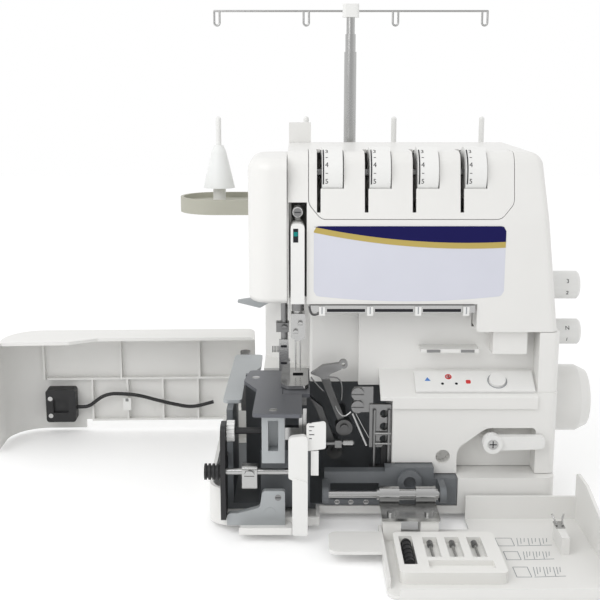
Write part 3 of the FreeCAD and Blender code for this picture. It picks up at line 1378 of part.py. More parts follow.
def lower_knife():
    top = PLATE_TOP - PLATE_THICK - SEAM
    right = KNIFE_X - SEAM
    low = KNIFE_Z + LOWER_BLADE_LOW
    blade = box(right - KNIFE_THICK, right, KNIFE_Y - LOWER_BLADE_HALF, KNIFE_Y + LOWER_BLADE_HALF, low, top)
    arm = box(CARRIER_RIGHT, right - KNIFE_THICK, KNIFE_Y - BLADE_ARM_FRONT, KNIFE_Y + BLADE_ARM_BACK, low,
              KNIFE_Z + BLADE_ARM_HIGH)
    return join(blade, arm)


def knife_guard():
    front = KNIFE_Y - 24.0
    back = front + 7.0
    right = NEEDLE_PLATE_RIGHT - 2.0
    lower = prism([
        (GUARD_LEFT, FOOT_HEIGHT + WALL, 2),
        (right, FOOT_HEIGHT + WALL, 2),
        (right, KNIFE_Z, 2),
        (GUARD_LEFT, KNIFE_Z + 4.0, 2),
    ], "XZ", front, back)
    upper = prism([
        (GUARD_LEFT - 3.0, KNIFE_Z + 3.0, 2),
        (right, KNIFE_Z - 4.0, 1),
        (right, KNIFE_Z + 38.0, 4),
        (GUARD_LEFT - 3.0, KNIFE_Z + 36.0, 4),
    ], "XZ", front + 1.0, back)
    stem_x = NEEDLE_PLATE_RIGHT - 10.0
    stem = box(stem_x, right, back, BASE_FRONT - BED_WALL, BASE_LIP + SEAM, BASE_LIP + 4.0)
    scale = prism([
        (right - 1.0, KNIFE_Z + 24.0, 1),
        (NEEDLE_PLATE_RIGHT + 12.0, KNIFE_Z + 26.0, 2),
        (NEEDLE_PLATE_RIGHT + 12.0, KNIFE_Z + 48.0, 2),
        (right - 1.0, KNIFE_Z + 46.0, 2),
    ], "XZ", back - 2.0, back)
    return join(lower, upper, stem, scale)


# Drive
def handwheel():
    centre = (SHAFT_Y, SHAFT_Z)
    width = WHEEL_RIGHT - WHEEL_LEFT
    dish_left = V(WHEEL_RIGHT - width / 4, *centre)
    dish = Part.makeCone(WHEEL_RADIUS - 10.0, WHEEL_RADIUS - 6.0, width / 4, dish_left, AXES["X"])
    rim_left = V(WHEEL_RIGHT - WHEEL_RIM, *centre)
    rim = Part.makeCone(WHEEL_RADIUS, WHEEL_RADIUS - WHEEL_RIM / 2, WHEEL_RIM, rim_left, AXES["X"])
    wheel = join(rod("X", centre, WHEEL_LEFT, WHEEL_RIGHT - WHEEL_RIM, WHEEL_RADIUS), rim)
    socket = rod("X", centre, WHEEL_LEFT - 1, WHEEL_LEFT + width / 2, SHAFT_RADIUS)
    return wheel.cut([dish, socket])


def main_shaft():
    centre = (SHAFT_Y, SHAFT_Z)
    width = WHEEL_RIGHT - WHEEL_LEFT
    shaft = rod("X", centre, COLUMN_LEFT + WALL + SEAM, WHEEL_LEFT + width / 2, SHAFT_RADIUS)
    pulley = rod("X", centre, PULLEY_X, PULLEY_X + PULLEY_WIDTH, PULLEY_RADIUS)
    return join(shaft, pulley)


def motor():
    body = rod("X", (MOTOR_Y, MOTOR_Z), MOTOR_LEFT, MOTOR_RIGHT, MOTOR_RADIUS)
    low = FOOT_HEIGHT + WALL + BED_FLOOR
    saddle = box(MOTOR_LEFT + 8.0, MOTOR_RIGHT - 8.0, MOTOR_Y - 14.0, MOTOR_Y + 14.0, low, MOTOR_Z)
    bore = rod("X", (MOTOR_Y, MOTOR_Z), MOTOR_RIGHT - 14.0, MOTOR_RIGHT + 1, MOTOR_SHAFT_RADIUS + RUN)
    return join(body, saddle).cut(bore)


def motor_pulley():
    centre = (MOTOR_Y, MOTOR_Z)
    wheel = rod("X", centre, PULLEY_X, PULLEY_X + PULLEY_WIDTH, MOTOR_PULLEY_RADIUS)
    spindle = rod("X", centre, MOTOR_RIGHT - 14.0 + FREE, PULLEY_X, MOTOR_SHAFT_RADIUS)
    return join(wheel, spindle)


def belt_loop(grow):
    span = V(0, MOTOR_Y - SHAFT_Y, MOTOR_Z - SHAFT_Z)
    length = span.Length
    along = math.atan2(span.z, span.y)
    big = PULLEY_RADIUS + grow
    small = MOTOR_PULLEY_RADIUS + grow
    lean = math.acos((big - small) / length)
    corners = []
    for centre, radius in ((V(0, SHAFT_Y, SHAFT_Z), big), (V(0, MOTOR_Y, MOTOR_Z), small)):
        for side in (-1, 1):
            angle = along + side * lean
            corners.append((centre.y + radius * math.cos(angle), centre.z + radius * math.sin(angle)))
    web = [corners[0], corners[1], corners[3], corners[2]]
    lo = PULLEY_X + FREE
    hi = PULLEY_X + PULLEY_WIDTH - FREE
    upper = rod("X", (SHAFT_Y, SHAFT_Z), lo, hi, big)
    lower = rod("X", (MOTOR_Y, MOTOR_Z), lo, hi, small)
    return join(prism(web, "YZ", lo, hi), upper, lower)


def drive_belt():
    return belt_loop(FREE + BELT_THICK).cut(belt_loop(FREE))


def side_dial(z, radius, end, wall_x):
    centre = (SIDE_DIAL_Y, z)
    knob_left = COLUMN_RIGHT + 2.0
    knob = rod("X", centre, knob_left, end - SIDE_DIAL_RIM, radius)
    rim_left = V(end - SIDE_DIAL_RIM, *centre)
    rim = Part.makeCone(radius, radius - SIDE_DIAL_RIM, SIDE_DIAL_RIM, rim_left, AXES["X"])
    stem = rod("X", centre, wall_x, knob_left, SIDE_DIAL_STEM)
    return join(knob, rim, stem)


def length_dial():
    return side_dial(LENGTH_DIAL_Z, LENGTH_DIAL_RADIUS, LENGTH_DIAL_END, HEAD_RIGHT_TOP + 2.0)


def differential_dial():
    return side_dial(DIFF_DIAL_Z, DIFF_DIAL_RADIUS, DIFF_DIAL_END, COLUMN_RIGHT - WALL)


def selector_lever():
    front = COLUMN_FRONT - 1.0 - FREE
    points = [
        (LEVER_X, LEVER_Z - LEVER_HUB + 2.0),
        (LEVER_END - 8.0, LEVER_Z - 5.0, 3),
        (LEVER_END, LEVER_Z - 4.0, 3),
        (LEVER_END, LEVER_Z + 6.0, 3),
        (LEVER_X, LEVER_Z + LEVER_HUB - 2.0),
    ]
    arm = prism(points, "XZ", front - LEVER_THICK, front)
    hub = rod("Y", (LEVER_X, LEVER_Z), front - LEVER_THICK - 2.0, front, LEVER_HUB)
    pin = rod("Y", (LEVER_X, LEVER_Z), front, COLUMN_FRONT + 7.0, WALL)
    slot = box(LEVER_X - 4.0, LEVER_X + 4.0, front - LEVER_THICK - 3.0, front - LEVER_THICK,
               LEVER_Z - 0.7, LEVER_Z + 0.7)
    return join(arm, hub, pin).cut(slot)


def shelf_frame():
    low = V(0, COLUMN_FRONT - SHELF_LIP, SHELF_LOW)
    high = V(0, RECESS_Y, SHELF_HIGH)
    slope = high.sub(low).normalize()
    outward = V(0, -slope.z, slope.y)
    middle = low.add(high).multiply(0.5)
    return middle, slope, outward


def button_rod(radius, lo, hi):
    middle, _, outward = shelf_frame()
    start = V(BUTTON_X, middle.y, middle.z).add(V(outward) * lo)
    return Part.makeCylinder(radius, hi - lo, start, outward)


def threading_panel():
    middle, slope, outward = shelf_frame()
    half = 11.0
    corners = []
    for s, n in ((-half, SEAM), (half, SEAM), (half, SEAM + PANEL_PLATE), (-half, SEAM + PANEL_PLATE)):
        point = middle.add(V(slope) * s).add(V(outward) * n)
        corners.append((point.y, point.z))
    plate = prism(corners, "YZ", PANEL_X0, PANEL_X1)
    foot = []
    for s, n in ((-half + 2.0, 0), (half - 2.0, 0), (half - 2.0, SEAM), (-half + 2.0, SEAM)):
        point = middle.add(V(slope) * s).add(V(outward) * n)
        foot.append((point.y, point.z))
    pad = prism(foot, "YZ", PANEL_X0 + 2.0, BUTTON_X - 2 * BUTTON_RADIUS)
    return join(plate, pad).cut(button_rod(BUTTON_RADIUS + FREE / 2, -1, 2 * PANEL_PLATE))


def air_button():
    return button_rod(BUTTON_RADIUS, -2.0, SEAM + PANEL_PLATE + BUTTON_TRAVEL + 1.0)


# Thread stand
def tray_points(inset):
    half = TRAY_HALF - inset
    left = TRAY_LEFT + inset
    right = TRAY_RIGHT - inset
    corner = half - 0.5
    return [
        (left, TRAY_Y - half, corner),
        (right, TRAY_Y - half, corner),
        (right, TRAY_Y + half, corner),
        (left, TRAY_Y + half, corner),
    ]


def pin_centres():
    return [(PIN_FIRST + i * PIN_PITCH, TRAY_Y) for i in range(PIN_COUNT)]


def spool_tray():
    tray = prism(tray_points(0), "XY", TRAY_BOTTOM, TRAY_TOP)
    dish = prism(tray_points(WALL), "XY", TRAY_FLOOR, TRAY_TOP + 1)
    under = prism(tray_points(2 * WALL), "XY", TRAY_BOTTOM - 1, TRAY_FLOOR - WALL)
    ribs = []
    for x, y in pin_centres():
        ribs.append(rod("Z", (x, y), TRAY_BOTTOM, TRAY_FLOOR, PIN_COLLAR + WALL))
    ribs.append(rod("Z", (POLE_X, POLE_Y), TRAY_BOTTOM, TRAY_FLOOR, POLE_RADIUS + 2 * WALL))
    shell = join(tray.cut([dish, under]), *ribs)
    holes = [rod("Z", c, TRAY_BOTTOM - 1, TRAY_TOP + 1, PIN_RADIUS) for c in pin_centres()]
    holes.append(rod("Z", (POLE_X, POLE_Y), TRAY_BOTTOM - 1, TRAY_TOP + 1, POLE_RADIUS))
    return shell.cut(holes)


def spool_pins():
    pins = []
    for centre in pin_centres():
        stem = rod("Z", centre, TRAY_BOTTOM + WALL, CONE_TOP, PIN_RADIUS)
        free = rod("Z", centre, CONE_TOP, PIN_TOP - PIN_TIP_RADIUS, PIN_TIP_RADIUS)
        tip = Part.makeSphere(PIN_TIP_RADIUS, V(*centre, PIN_TOP - PIN_TIP_RADIUS))
        collar = rod("Z", centre, TRAY_FLOOR, CONE_BOTTOM, PIN_COLLAR)
        pins.append(join(stem, free, tip, collar))
    return group(pins)


def cone_holders():
    cones = []
    for x, y in pin_centres():
        foot = V(x, y, CONE_BOTTOM)
        neck = V(x, y, CONE_TOP - CONE_CAP)
        skirt = Part.makeCone(CONE_BASE_RADIUS, CONE_TOP_RADIUS, CONE_HEIGHT - CONE_CAP, foot, AXES["Z"])
        cap = Part.makeCone(CONE_TOP_RADIUS, CONE_TIP_RADIUS, CONE_CAP, neck, AXES["Z"])
        hollow_height = CONE_HEIGHT - CONE_CAP - 2 * CONE_WALL
        hollow_foot = V(x, y, CONE_BOTTOM - 0.01)
        hollow = Part.makeCone(CONE_BASE_RADIUS - CONE_WALL, CONE_TOP_RADIUS - CONE_WALL, hollow_height,
                               hollow_foot, AXES["Z"])
        rest = tube("Z", (x, y), CONE_BOTTOM, CONE_BOTTOM + CONE_WALL, CONE_BASE_RADIUS - CONE_WALL / 2,
                    PIN_RADIUS)
        bore = rod("Z", (x, y), CONE_BOTTOM - 1, CONE_TOP + 1, PIN_RADIUS)
        cones.append(join(join(skirt, cap).cut(hollow), rest).cut(bore))
    return group(cones)


def pole_outer():
    inner = POLE_RADIUS - POLE_STEP
    pipe = tube("Z", (POLE_X, POLE_Y), TRAY_BOTTOM, POLE_TOP, POLE_RADIUS, inner)
    return pipe.fuse(rod("Z", (POLE_X, POLE_Y), TRAY_BOTTOM, TRAY_BOTTOM + WALL,
                         inner)).removeSplitter()


def pole_middle():
    outer = POLE_RADIUS - POLE_STEP - RUN
    return tube("Z", (POLE_X, POLE_Y), MIDDLE_BOTTOM, MIDDLE_TOP, outer, outer - POLE_STEP)


def pole_inner():
    radius = POLE_RADIUS - 2 * POLE_STEP - 2 * RUN
    return rod("Z", (POLE_X, POLE_Y), INNER_BOTTOM, INNER_TOP, radius)


def guide_bracket():
    half = BRACKET_WIDTH / 2
    depth = BRACKET_DEPTH / 2
    points = [
        (POLE_X - half, POLE_Y - depth, 3),
        (POLE_X + half, POLE_Y - depth, 3),
        (POLE_X + half, POLE_Y + depth, 3),
        (POLE_X - half, POLE_Y + depth, 3),
    ]
    block = prism(points, "XY", BRACKET_BOTTOM, BRACKET_TOP)
    socket = rod("Z", (POLE_X, POLE_Y), BRACKET_BOTTOM - 1, INNER_TOP,
                 POLE_RADIUS - 2 * POLE_STEP - 2 * RUN)
    wire = rod("X", (GUIDE_Y, GUIDE_Z), POLE_X - half - 1, POLE_X + half + 1, WIRE_RADIUS)
    return block.cut([socket, wire])


def guide_wires():
    y = GUIDE_Y
    half = HOOK_WIDTH / 2
    first = pin_centres()[0][0]
    last = pin_centres()[-1][0]
    pieces = [rod("X", (y, GUIDE_Z), first - half, last + half, WIRE_RADIUS)]
    for x, _ in pin_centres():
        low = GUIDE_Z - HOOK_DROP + half
        for side in (-half, half):
            pieces.append(rod("Z", (x + side, y), low, GUIDE_Z, WIRE_RADIUS))
        section = Part.Face(Part.Wire(Part.Circle(V(x + half, y, low), AXES["Z"],
                                                  WIRE_RADIUS).toShape()))
        pieces.append(section.revolve(V(x, y, low), AXES["Y"], 180))
    ends = [Part.makeSphere(WIRE_RADIUS, V(x, y, GUIDE_Z)) for x in (first - half, last + half)]
    return join(*pieces, *ends)


# Side cover
def side_hinge_bracket():
    lugs = []
    for low, high in ((BASE_RIM, BASE_RIM + 9.0), (INNER_PLATE_TOP - 12.0,
                                                   INNER_PLATE_TOP - PLATE_THICK)):
        arm = box(SIDE_HINGE_X - 4.0, SIDE_HINGE_X + 4.0, BASE_REAR - WALL, SIDE_HINGE_Y, low, high)
        eye = rod("Z", (SIDE_HINGE_X, SIDE_HINGE_Y), low, high, SIDE_KNUCKLE_RADIUS)
        lugs.append(arm.fuse(eye))
    spine = box(SIDE_HINGE_X - 4.0, SIDE_HINGE_X + 4.0, BASE_REAR - WALL, BASE_REAR, BASE_RIM,
                INNER_PLATE_TOP - PLATE_THICK)
    pin = rod("Z", (SIDE_HINGE_X, SIDE_HINGE_Y), BASE_RIM, INNER_PLATE_TOP - PLATE_THICK,
              SIDE_PIN_RADIUS)
    return join(spine, *lugs, pin)


def side_points():
    return [
        (SIDE_OUTER, SIDE_REAR, 8),
        (SIDE_OUTER, SIDE_FRONT, SIDE_CORNER),
        (SIDE_FRONT_REACH, SIDE_FRONT),
        (SIDE_FRONT_REACH, SIDE_FRONT + WALL),
        (SIDE_FRONT_REACH - 2.0, PLATE_FRONT - 2.0),
        (PLATE_LEFT + 10.0, PLATE_FRONT - 2.0),
        (PLATE_LEFT + 8.0, NEEDLE_Y - 38.0),
        (SIDE_INNER, NEEDLE_Y - 12.0),
        (SIDE_INNER, SIDE_REAR),
    ]


def swing_open(shape):
    return turned(shape, V(SIDE_HINGE_X, SIDE_HINGE_Y, 0), AXES["Z"], -SIDE_OPEN)


def side_cover():
    outer = prism(side_points(), "XY", SIDE_FRONT_LOW, SIDE_TOP)

    def rim(edge):
        flat = edge.BoundBox
        level = abs(flat.ZMin - SIDE_TOP) < 0.1 and flat.ZLength < 0.1
        return level and middle_of(edge).x < SIDE_OUTER + SIDE_CORNER / 2

    outer = round_edges(outer, 8.0, rim)
    depth = [
        (SIDE_OUTER + WALL, SIDE_REAR + 5.0),
        (SIDE_OUTER + WALL, SIDE_FRONT + WALL, SIDE_CORNER - WALL),
        (SIDE_FRONT_REACH + 9.0, SIDE_FRONT + WALL),
        (SIDE_FRONT_REACH + 9.0, SIDE_REAR + 5.0),
    ]
    inner = prism(depth, "XY", SIDE_FRONT_LOW - 1, SIDE_TOP - WALL)
    skirt = box(SIDE_OUTER - 1, SIDE_INNER + 1, SWITCH_Y + SWITCH_WIDTH / 2 + 8.0, SIDE_REAR + 1,
                SIDE_FRONT_LOW - 1, SIDE_LOW)
    shell = outer.cut([inner, skirt])
    wall = SIDE_OUTER + WALL
    ribs = [
        box(wall - 1, wall + SIDE_RIB, SIDE_FRONT + SIDE_CORNER, SIDE_REAR - 2.0, SIDE_RIB_Z,
            SIDE_RIB_Z + SIDE_RIB_THICK),
        box(wall - 1, wall + SIDE_RIB, SWITCH_Y + SWITCH_WIDTH, SIDE_REAR - 2.0, SIDE_LOW,
            SIDE_LOW + SIDE_RIB_THICK),
    ]
    count = 5
    for i in range(count):
        y = SWITCH_Y + SWITCH_WIDTH + i * SIDE_RIB_PITCH
        ribs.append(box(wall - 1, wall + SIDE_RIB, y, y + SIDE_RIB_THICK, SIDE_LOW, SIDE_RIB_Z))
    for offset in SIDE_UPPER_RIBS:
        y = SWITCH_Y + offset
        ribs.append(box(wall - 1, wall + SIDE_RIB, y, y + SIDE_RIB_THICK, SIDE_RIB_Z, SIDE_TOP - 2 * WALL))
    lug_low = BASE_RIM + 9.0 + FREE
    lug_high = INNER_PLATE_TOP - 12.0 - FREE
    middle = (lug_low + lug_high) / 2
    knuckles = []
    for low, high in ((lug_low, middle - 4.0), (middle + 4.0, lug_high)):
        knuckles.append(rod("Z", (SIDE_HINGE_X, SIDE_HINGE_Y), low, high, SIDE_KNUCKLE_RADIUS))
        knuckles.append(box(wall - 1, SIDE_HINGE_X, SIDE_HINGE_Y - 2.0, SIDE_HINGE_Y + 3.0, low, high))
    shell = join(shell, *ribs, *knuckles)
    shell = shell.cut(rod("Z", (SIDE_HINGE_X, SIDE_HINGE_Y), lug_low - 1, lug_high + 1,
                          SIDE_PIN_RADIUS + RUN))
    return swing_open(shell)


def switch_face():
    return SIDE_OUTER + WALL


def cable_switch():
    x0 = switch_face()
    x1 = x0 + SWITCH_DEPTH
    half = SWITCH_WIDTH / 2
    body = prism([
        (SWITCH_Y - half, SWITCH_BOTTOM, 3),
        (SWITCH_Y + half, SWITCH_BOTTOM, 3),
        (SWITCH_Y + half, SWITCH_BOTTOM + SWITCH_HEIGHT, 3),
        (SWITCH_Y - half, SWITCH_BOTTOM + SWITCH_HEIGHT, 3),
    ], "YZ", x0, x1)
    mid_z = SWITCH_BOTTOM + SWITCH_HEIGHT / 2
    recess = box(x1 - 3.0, x1 + 1, SWITCH_Y - half / 2, SWITCH_Y + half / 2, mid_z - 7.0, mid_z + 7.0)
    return swing_open(body.cut(recess))


def cable_route():
    x = switch_face() + SIDE_RIB + CABLE_RADIUS + CABLE_LIFT
    start = SWITCH_Y + SWITCH_WIDTH / 2
    z = SWITCH_BOTTOM + CABLE_RISE
    return [V(x, start + along, z + rise) for along, rise in CABLE_PATH]


def smooth_path(points):
    ends = []
    for i in range(1, len(points) - 1):
        before = points[i - 1].sub(points[i])
        after = points[i + 1].sub(points[i])
        reach = 0.45 * min(before.Length, after.Length)
        turn = math.pi - before.getAngle(after)
        radius = reach / math.tan(turn / 2)
        print("cable bend radius", round(radius, 1))
        inward = V(before).normalize().add(V(after).normalize()).normalize()
        middle = points[i].add(inward * (radius / math.cos(turn / 2) - radius))
        ends.append((points[i].add(V(before).normalize() * reach), middle,
                     points[i].add(V(after).normalize() * reach)))
    edges = []
    here = points[0]
    for start, middle, end in ends:
        edges.append(Part.LineSegment(here, start).toShape())
        edges.append(Part.Arc(start, middle, end).toShape())
        here = end
    edges.append(Part.LineSegment(here, points[-1]).toShape())
    return Part.Wire(edges)


def side_cable():
    path = smooth_path(cable_route())
    start = cable_route()[0]
    section = Part.Wire(Part.Circle(start, AXES["Y"], CABLE_RADIUS).toShape())
    cable = path.makePipeShell([section], True, False)
    print("cable volume ratio", round(cable.Volume / (math.pi * CABLE_RADIUS ** 2 * path.Length), 3))
    return swing_open(cable)


# Front cover
def fold_open(shape):
    return turned(shape, V(0, COVER_HINGE_Y, COVER_HINGE_Z), AXES["X"], COVER_OPEN)


def front_cover():
    inner_face = COVER_FACE + COVER_WALL
    shape = [
        (COVER_LEFT, COVER_LOW_LEFT, 6),
        (COVER_FLANGE_LEFT, COVER_LOW_LEFT),
        (COVER_FLANGE_LEFT, COVER_BOTTOM),
        (COVER_RIGHT, COVER_BOTTOM),
        (COVER_RIGHT, COVER_TOP, 14),
        (COVER_LEFT, COVER_TOP, 10),
    ]
    face = prism(shape, "XZ", COVER_FACE, inner_face)
    flange = box(COVER_FLANGE_LEFT, COVER_RIGHT, COVER_FACE, COVER_FLANGE, COVER_BOTTOM,
                 COVER_BOTTOM + COVER_WALL)
    side = prism([
        (COVER_FACE, COVER_BOTTOM),
        (COVER_SIDE_DEPTH, COVER_BOTTOM, 3),
        (COVER_SIDE_DEPTH, COVER_BOTTOM + 30.0, 10),
        (COVER_SIDE_TOP, COVER_TOP - 14.0, 4),
        (COVER_FACE, COVER_TOP - 14.0),
    ], "YZ", COVER_RIGHT - COVER_WALL, COVER_RIGHT)
    edge = box(COVER_LEFT, COVER_LEFT + COVER_WALL, COVER_FACE, FLAP_Y, COVER_LOW_LEFT + 8.0,
               COVER_TOP - 12.0)
    top = box(COVER_LEFT + 8.0, COVER_RIGHT - 14.0, COVER_FACE, FLAP_Y - 2.0, COVER_TOP - COVER_WALL,
              COVER_TOP)
    flap = prism([
        (FLAP_LEFT, FLAP_BOTTOM, 7),
        (COVER_LEFT + COVER_WALL, FLAP_BOTTOM),
        (COVER_LEFT + COVER_WALL, FLAP_TOP),
        (FLAP_LEFT, FLAP_TOP, 7),
    ], "XZ", FLAP_Y - COVER_WALL, FLAP_Y)
    post_right = COVER_RIGHT - CLIP_POST_INSET
    post_low = COVER_BOTTOM + CLIP_POST_RISE
    post = box(post_right - CLIP_POST_WIDTH, post_right, inner_face, inner_face + CLIP_POST_HEIGHT, post_low,
               post_low + CLIP_POST_LENGTH)
    pads = []
    for x in knuckle_edges():
        pads.append(box(x + 1.0, x + KNUCKLE_WIDTH - 1.0, COVER_FACE + 1.0, hinge_plate_front(),
                        COVER_LOW_LEFT + 4.0,
                        COVER_LOW_LEFT + 22.0))
    return fold_open(join(face, flange, side, edge, top, flap, post, *pads))


def knuckle_edges():
    left = COVER_LEFT + 2.0
    return [left, ROD_RIGHT - LUG_WIDTH - FREE - KNUCKLE_WIDTH - 3.0]


def hinge_plate_front():
    return COVER_HINGE_Y - KNUCKLE_RADIUS - 1.0


def cover_hinge_plate():
    front = hinge_plate_front()
    left = knuckle_edges()[0]
    right = knuckle_edges()[1] + KNUCKLE_WIDTH
    plate = box(left, right, front, front + 2.5, COVER_HINGE_Z - 4.0, COVER_LOW_LEFT + 24.0)
    window = box(left + KNUCKLE_WIDTH, right - KNUCKLE_WIDTH, front - 1, front + 4.0,
                 COVER_HINGE_Z - 5.0, COVER_HINGE_Z + KNUCKLE_RADIUS)
    pieces = [plate.cut(window)]
    for x in knuckle_edges():
        pieces.append(rod("X", (COVER_HINGE_Y, COVER_HINGE_Z), x, x + KNUCKLE_WIDTH, KNUCKLE_RADIUS))
        pieces.append(box(x, x + KNUCKLE_WIDTH, front, COVER_HINGE_Y, COVER_HINGE_Z - 4.0,
                          COVER_HINGE_Z + 4.0))
        pieces.append(rod("Y", (x + KNUCKLE_WIDTH / 2, COVER_LOW_LEFT + 16.0), front, front + 5.0, 3.5))
    bore = rod("X", (COVER_HINGE_Y, COVER_HINGE_Z), ROD_LEFT, ROD_RIGHT, SLEEVE_RADIUS + RUN)
    return fold_open(join(*pieces).cut(bore))


def hinge_sleeve():
    left = knuckle_edges()[0] - 2.0
    right = knuckle_edges()[1] + KNUCKLE_WIDTH + 2.0
    return tube("X", (COVER_HINGE_Y, COVER_HINGE_Z), left, right, SLEEVE_RADIUS, HINGE_ROD_RADIUS + RUN)


def hinge_rod():
    return rod("X", (COVER_HINGE_Y, COVER_HINGE_Z), ROD_LEFT, ROD_RIGHT, HINGE_ROD_RADIUS)


def accessory_tray():
    back = COVER_FACE + COVER_WALL
    front = back + ACCESSORY_DEPTH
    body = prism([
        (ACCESSORY_LEFT, ACCESSORY_BOTTOM, 5),
        (ACCESSORY_RIGHT, ACCESSORY_BOTTOM, 5),
        (ACCESSORY_RIGHT, ACCESSORY_TOP, 5),
        (ACCESSORY_LEFT, ACCESSORY_TOP, 5),
    ], "XZ", back, front)
    cuts = [box(ACCESSORY_LEFT + 4.0, ACCESSORY_LEFT + 14.0, front - 6.0, front + 1,
                ACCESSORY_BOTTOM + 8.0, ACCESSORY_TOP - 14.0)]
    count = 3
    for i in range(count):
        x = ACCESSORY_LEFT + 22.0 + i * 17.0
        cuts.append(box(x, x + 11.0, front - 5.0, front + 1, ACCESSORY_BOTTOM + 10.0,
                        ACCESSORY_TOP - 26.0))
    cuts.append(box(ACCESSORY_LEFT + 22.0, ACCESSORY_RIGHT - 8.0, front - 4.0, front + 1,
                    ACCESSORY_TOP - 20.0, ACCESSORY_TOP - 8.0))
    return fold_open(body.cut(cuts))


def build():
    pieces = {
        "base_tray": base_tray(),
        "rubber_feet": rubber_feet(),
        "bed_casting": bed_casting(),
        "lower_guard": lower_guard(),
        "inner_plate": inner_plate(),
        "plate_carrier": plate_carrier(),
        "cloth_plate": cloth_plate(),
        "needle_plate": needle_plate(),
        "feed_dogs": feed_dogs(),
        "front_casing": front_casing(),
        "rear_casing": rear_casing(),
        "power_inlet": power_inlet(),
        "head_casing": head_casing(),
        "tension_panel": tension_panel(),
        "head_fittings": group([tension_rod(), needle_bush(), lifter_bracket()]),
        "face_cover": face_cover(),
        "take_up_cover": take_up_cover(),
        "thread_guide_bar": thread_guide_bar(),
        "needle_bar": group([needle_bar(), needle_clamp(), *needles()]),
        "presser_bar": presser_bar(),
        "presser_foot": presser_foot(),
        "presser_lifter": presser_lifter(),
        "lower_looper": lower_looper(),
        "upper_looper": upper_looper(),
        "looper_guides": looper_guides(),
        "knife_bracket": knife_bracket(),
        "width_dial": width_dial(),
        "upper_knife": group([upper_knife(), knife_grip()]),
        "knife_guard": knife_guard(),
        "handwheel": handwheel(),
        "main_shaft": main_shaft(),
        "motor": motor(),
        "motor_pulley": motor_pulley(),
        "drive_belt": drive_belt(),
        "length_dial": length_dial(),
        "differential_dial": differential_dial(),
        "selector_lever": selector_lever(),
        "threading_panel": threading_panel(),
        "air_button": air_button(),
        "spool_tray": spool_tray(),
        "spool_pins": spool_pins(),
        "cone_holders": cone_holders(),
        "pole_outer": pole_outer(),
        "pole_middle": pole_middle(),
        "pole_inner": pole_inner(),
        "guide_bracket": guide_bracket(),
        "guide_wires": guide_wires(),
        "side_hinge_bracket": side_hinge_bracket(),
        "side_cover": side_cover(),
        "cable_switch": cable_switch(),
        "side_cable": side_cable(),
        "front_cover": front_cover(),
        "cover_hinge_plate": cover_hinge_plate(),
        "hinge_sleeve": hinge_sleeve(),
        "bed_hardware": group([hinge_rod(), lower_knife(), *plate_screws()]),
        "accessory_tray": accessory_tray(),
    }
    for i, x in enumerate(dial_centres()):
        pieces[f"tension_dial_{i + 1}"] = tension_dial(x)
    shift = V(-ORIGIN_X, -ORIGIN_Y, 0)
    for shape in pieces.values():
        shape.translate(shift)
    return pieces


PIECES = build()
os.makedirs("parts", exist_ok=True)
for name, shape in PIECES.items():
    shape.exportStep(f"parts/{name}.step")
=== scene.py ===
import json
import math

import bpy
from mathutils import Matrix, Vector


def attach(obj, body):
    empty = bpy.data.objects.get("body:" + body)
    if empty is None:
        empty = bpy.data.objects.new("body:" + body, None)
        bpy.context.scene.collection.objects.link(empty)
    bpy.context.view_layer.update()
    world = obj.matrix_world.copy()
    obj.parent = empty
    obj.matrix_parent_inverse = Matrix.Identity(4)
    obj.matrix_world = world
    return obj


# Placing: sizes below are in millimetres in the machine's layout about the needle
SHIFT_X = 25.1
SHIFT_Y = 26.7
MM = 0.001

# Camera and picture
CAMERA_PLACE = (0.0, -892.0, 360.0)
CAMERA_PITCH = 78.0
CAMERA_LENS = 63.18
CAMERA_REACH = 50000.0
SENSOR_WIDTH = 36.0
WORLD_STRENGTH = 1.0
WORLD_FRONT = 0.7
WORLD_BACK = 1.0
WORLD_FADE_START = -0.9
WORLD_FADE_END = -0.1
KEY_PLACE = (-500.0, -700.0, 800.0)
KEY_TARGET = (50.0, 0.0, 150.0)
KEY_POWER = 4.0
KEY_SIZE = 800.0
FLOOR_SIZE = 6000.0
FLOOR_SHADE = 0.95
FLOOR_ROUGH = 0.6
FLOOR_GLOW = 0.12

# Finish of the edges
EDGE_ROUND = 0.6
EDGE_STEPS = 2
EDGE_ANGLE = 38.0
SPLIT_ANGLE = 34.0
LIFT = 0.12
THIN = 0.01
INK = 0.15

# Fineness of round pieces
RING_STEPS = 28
CORNER_STEPS = 6
BAR_STEPS = 20
TICK_STEPS = 6
WIRE_STEPS = 3
WIRE_ORDER = 3

# Grain of the surfaces
MOTTLE_SCALE = 30.0
NOISE_DETAIL = 3.0
GRAIN_DEPTH = 0.3
ROUGH_CHANGE = 0.05
GLOW_REACH = 10.0
BRUSH = (1.0, 1.0, 30.0)

# Front of the head
HEAD_FRONT = -62.0
LABEL_LEFT = 11.0
LABEL_RIGHT = 164.0
LABEL_LOW = 187.0
LABEL_HIGH = 243.5
LABEL_CORNER = 4.0
LABEL_BOW = -4.5
BAND_STEPS = 80
STRIPE_TOP = (243.0, 231.0, -5.0)
STRIPE_LOW = (238.4, 226.2, -5.0)

# Limits between two finishes on one node, and heights below which painted shade darkens the looper guide
# plate and the thread guide bar
GRIP_RIGHT = -63.5
WIDTH_WHEEL_RIGHT = -52.0
UPPER_ARM_TOP = 112.0
GUIDE_PLATE_SHADE_TOP = 57.0
GUIDE_SHADE_TOP = 174.0

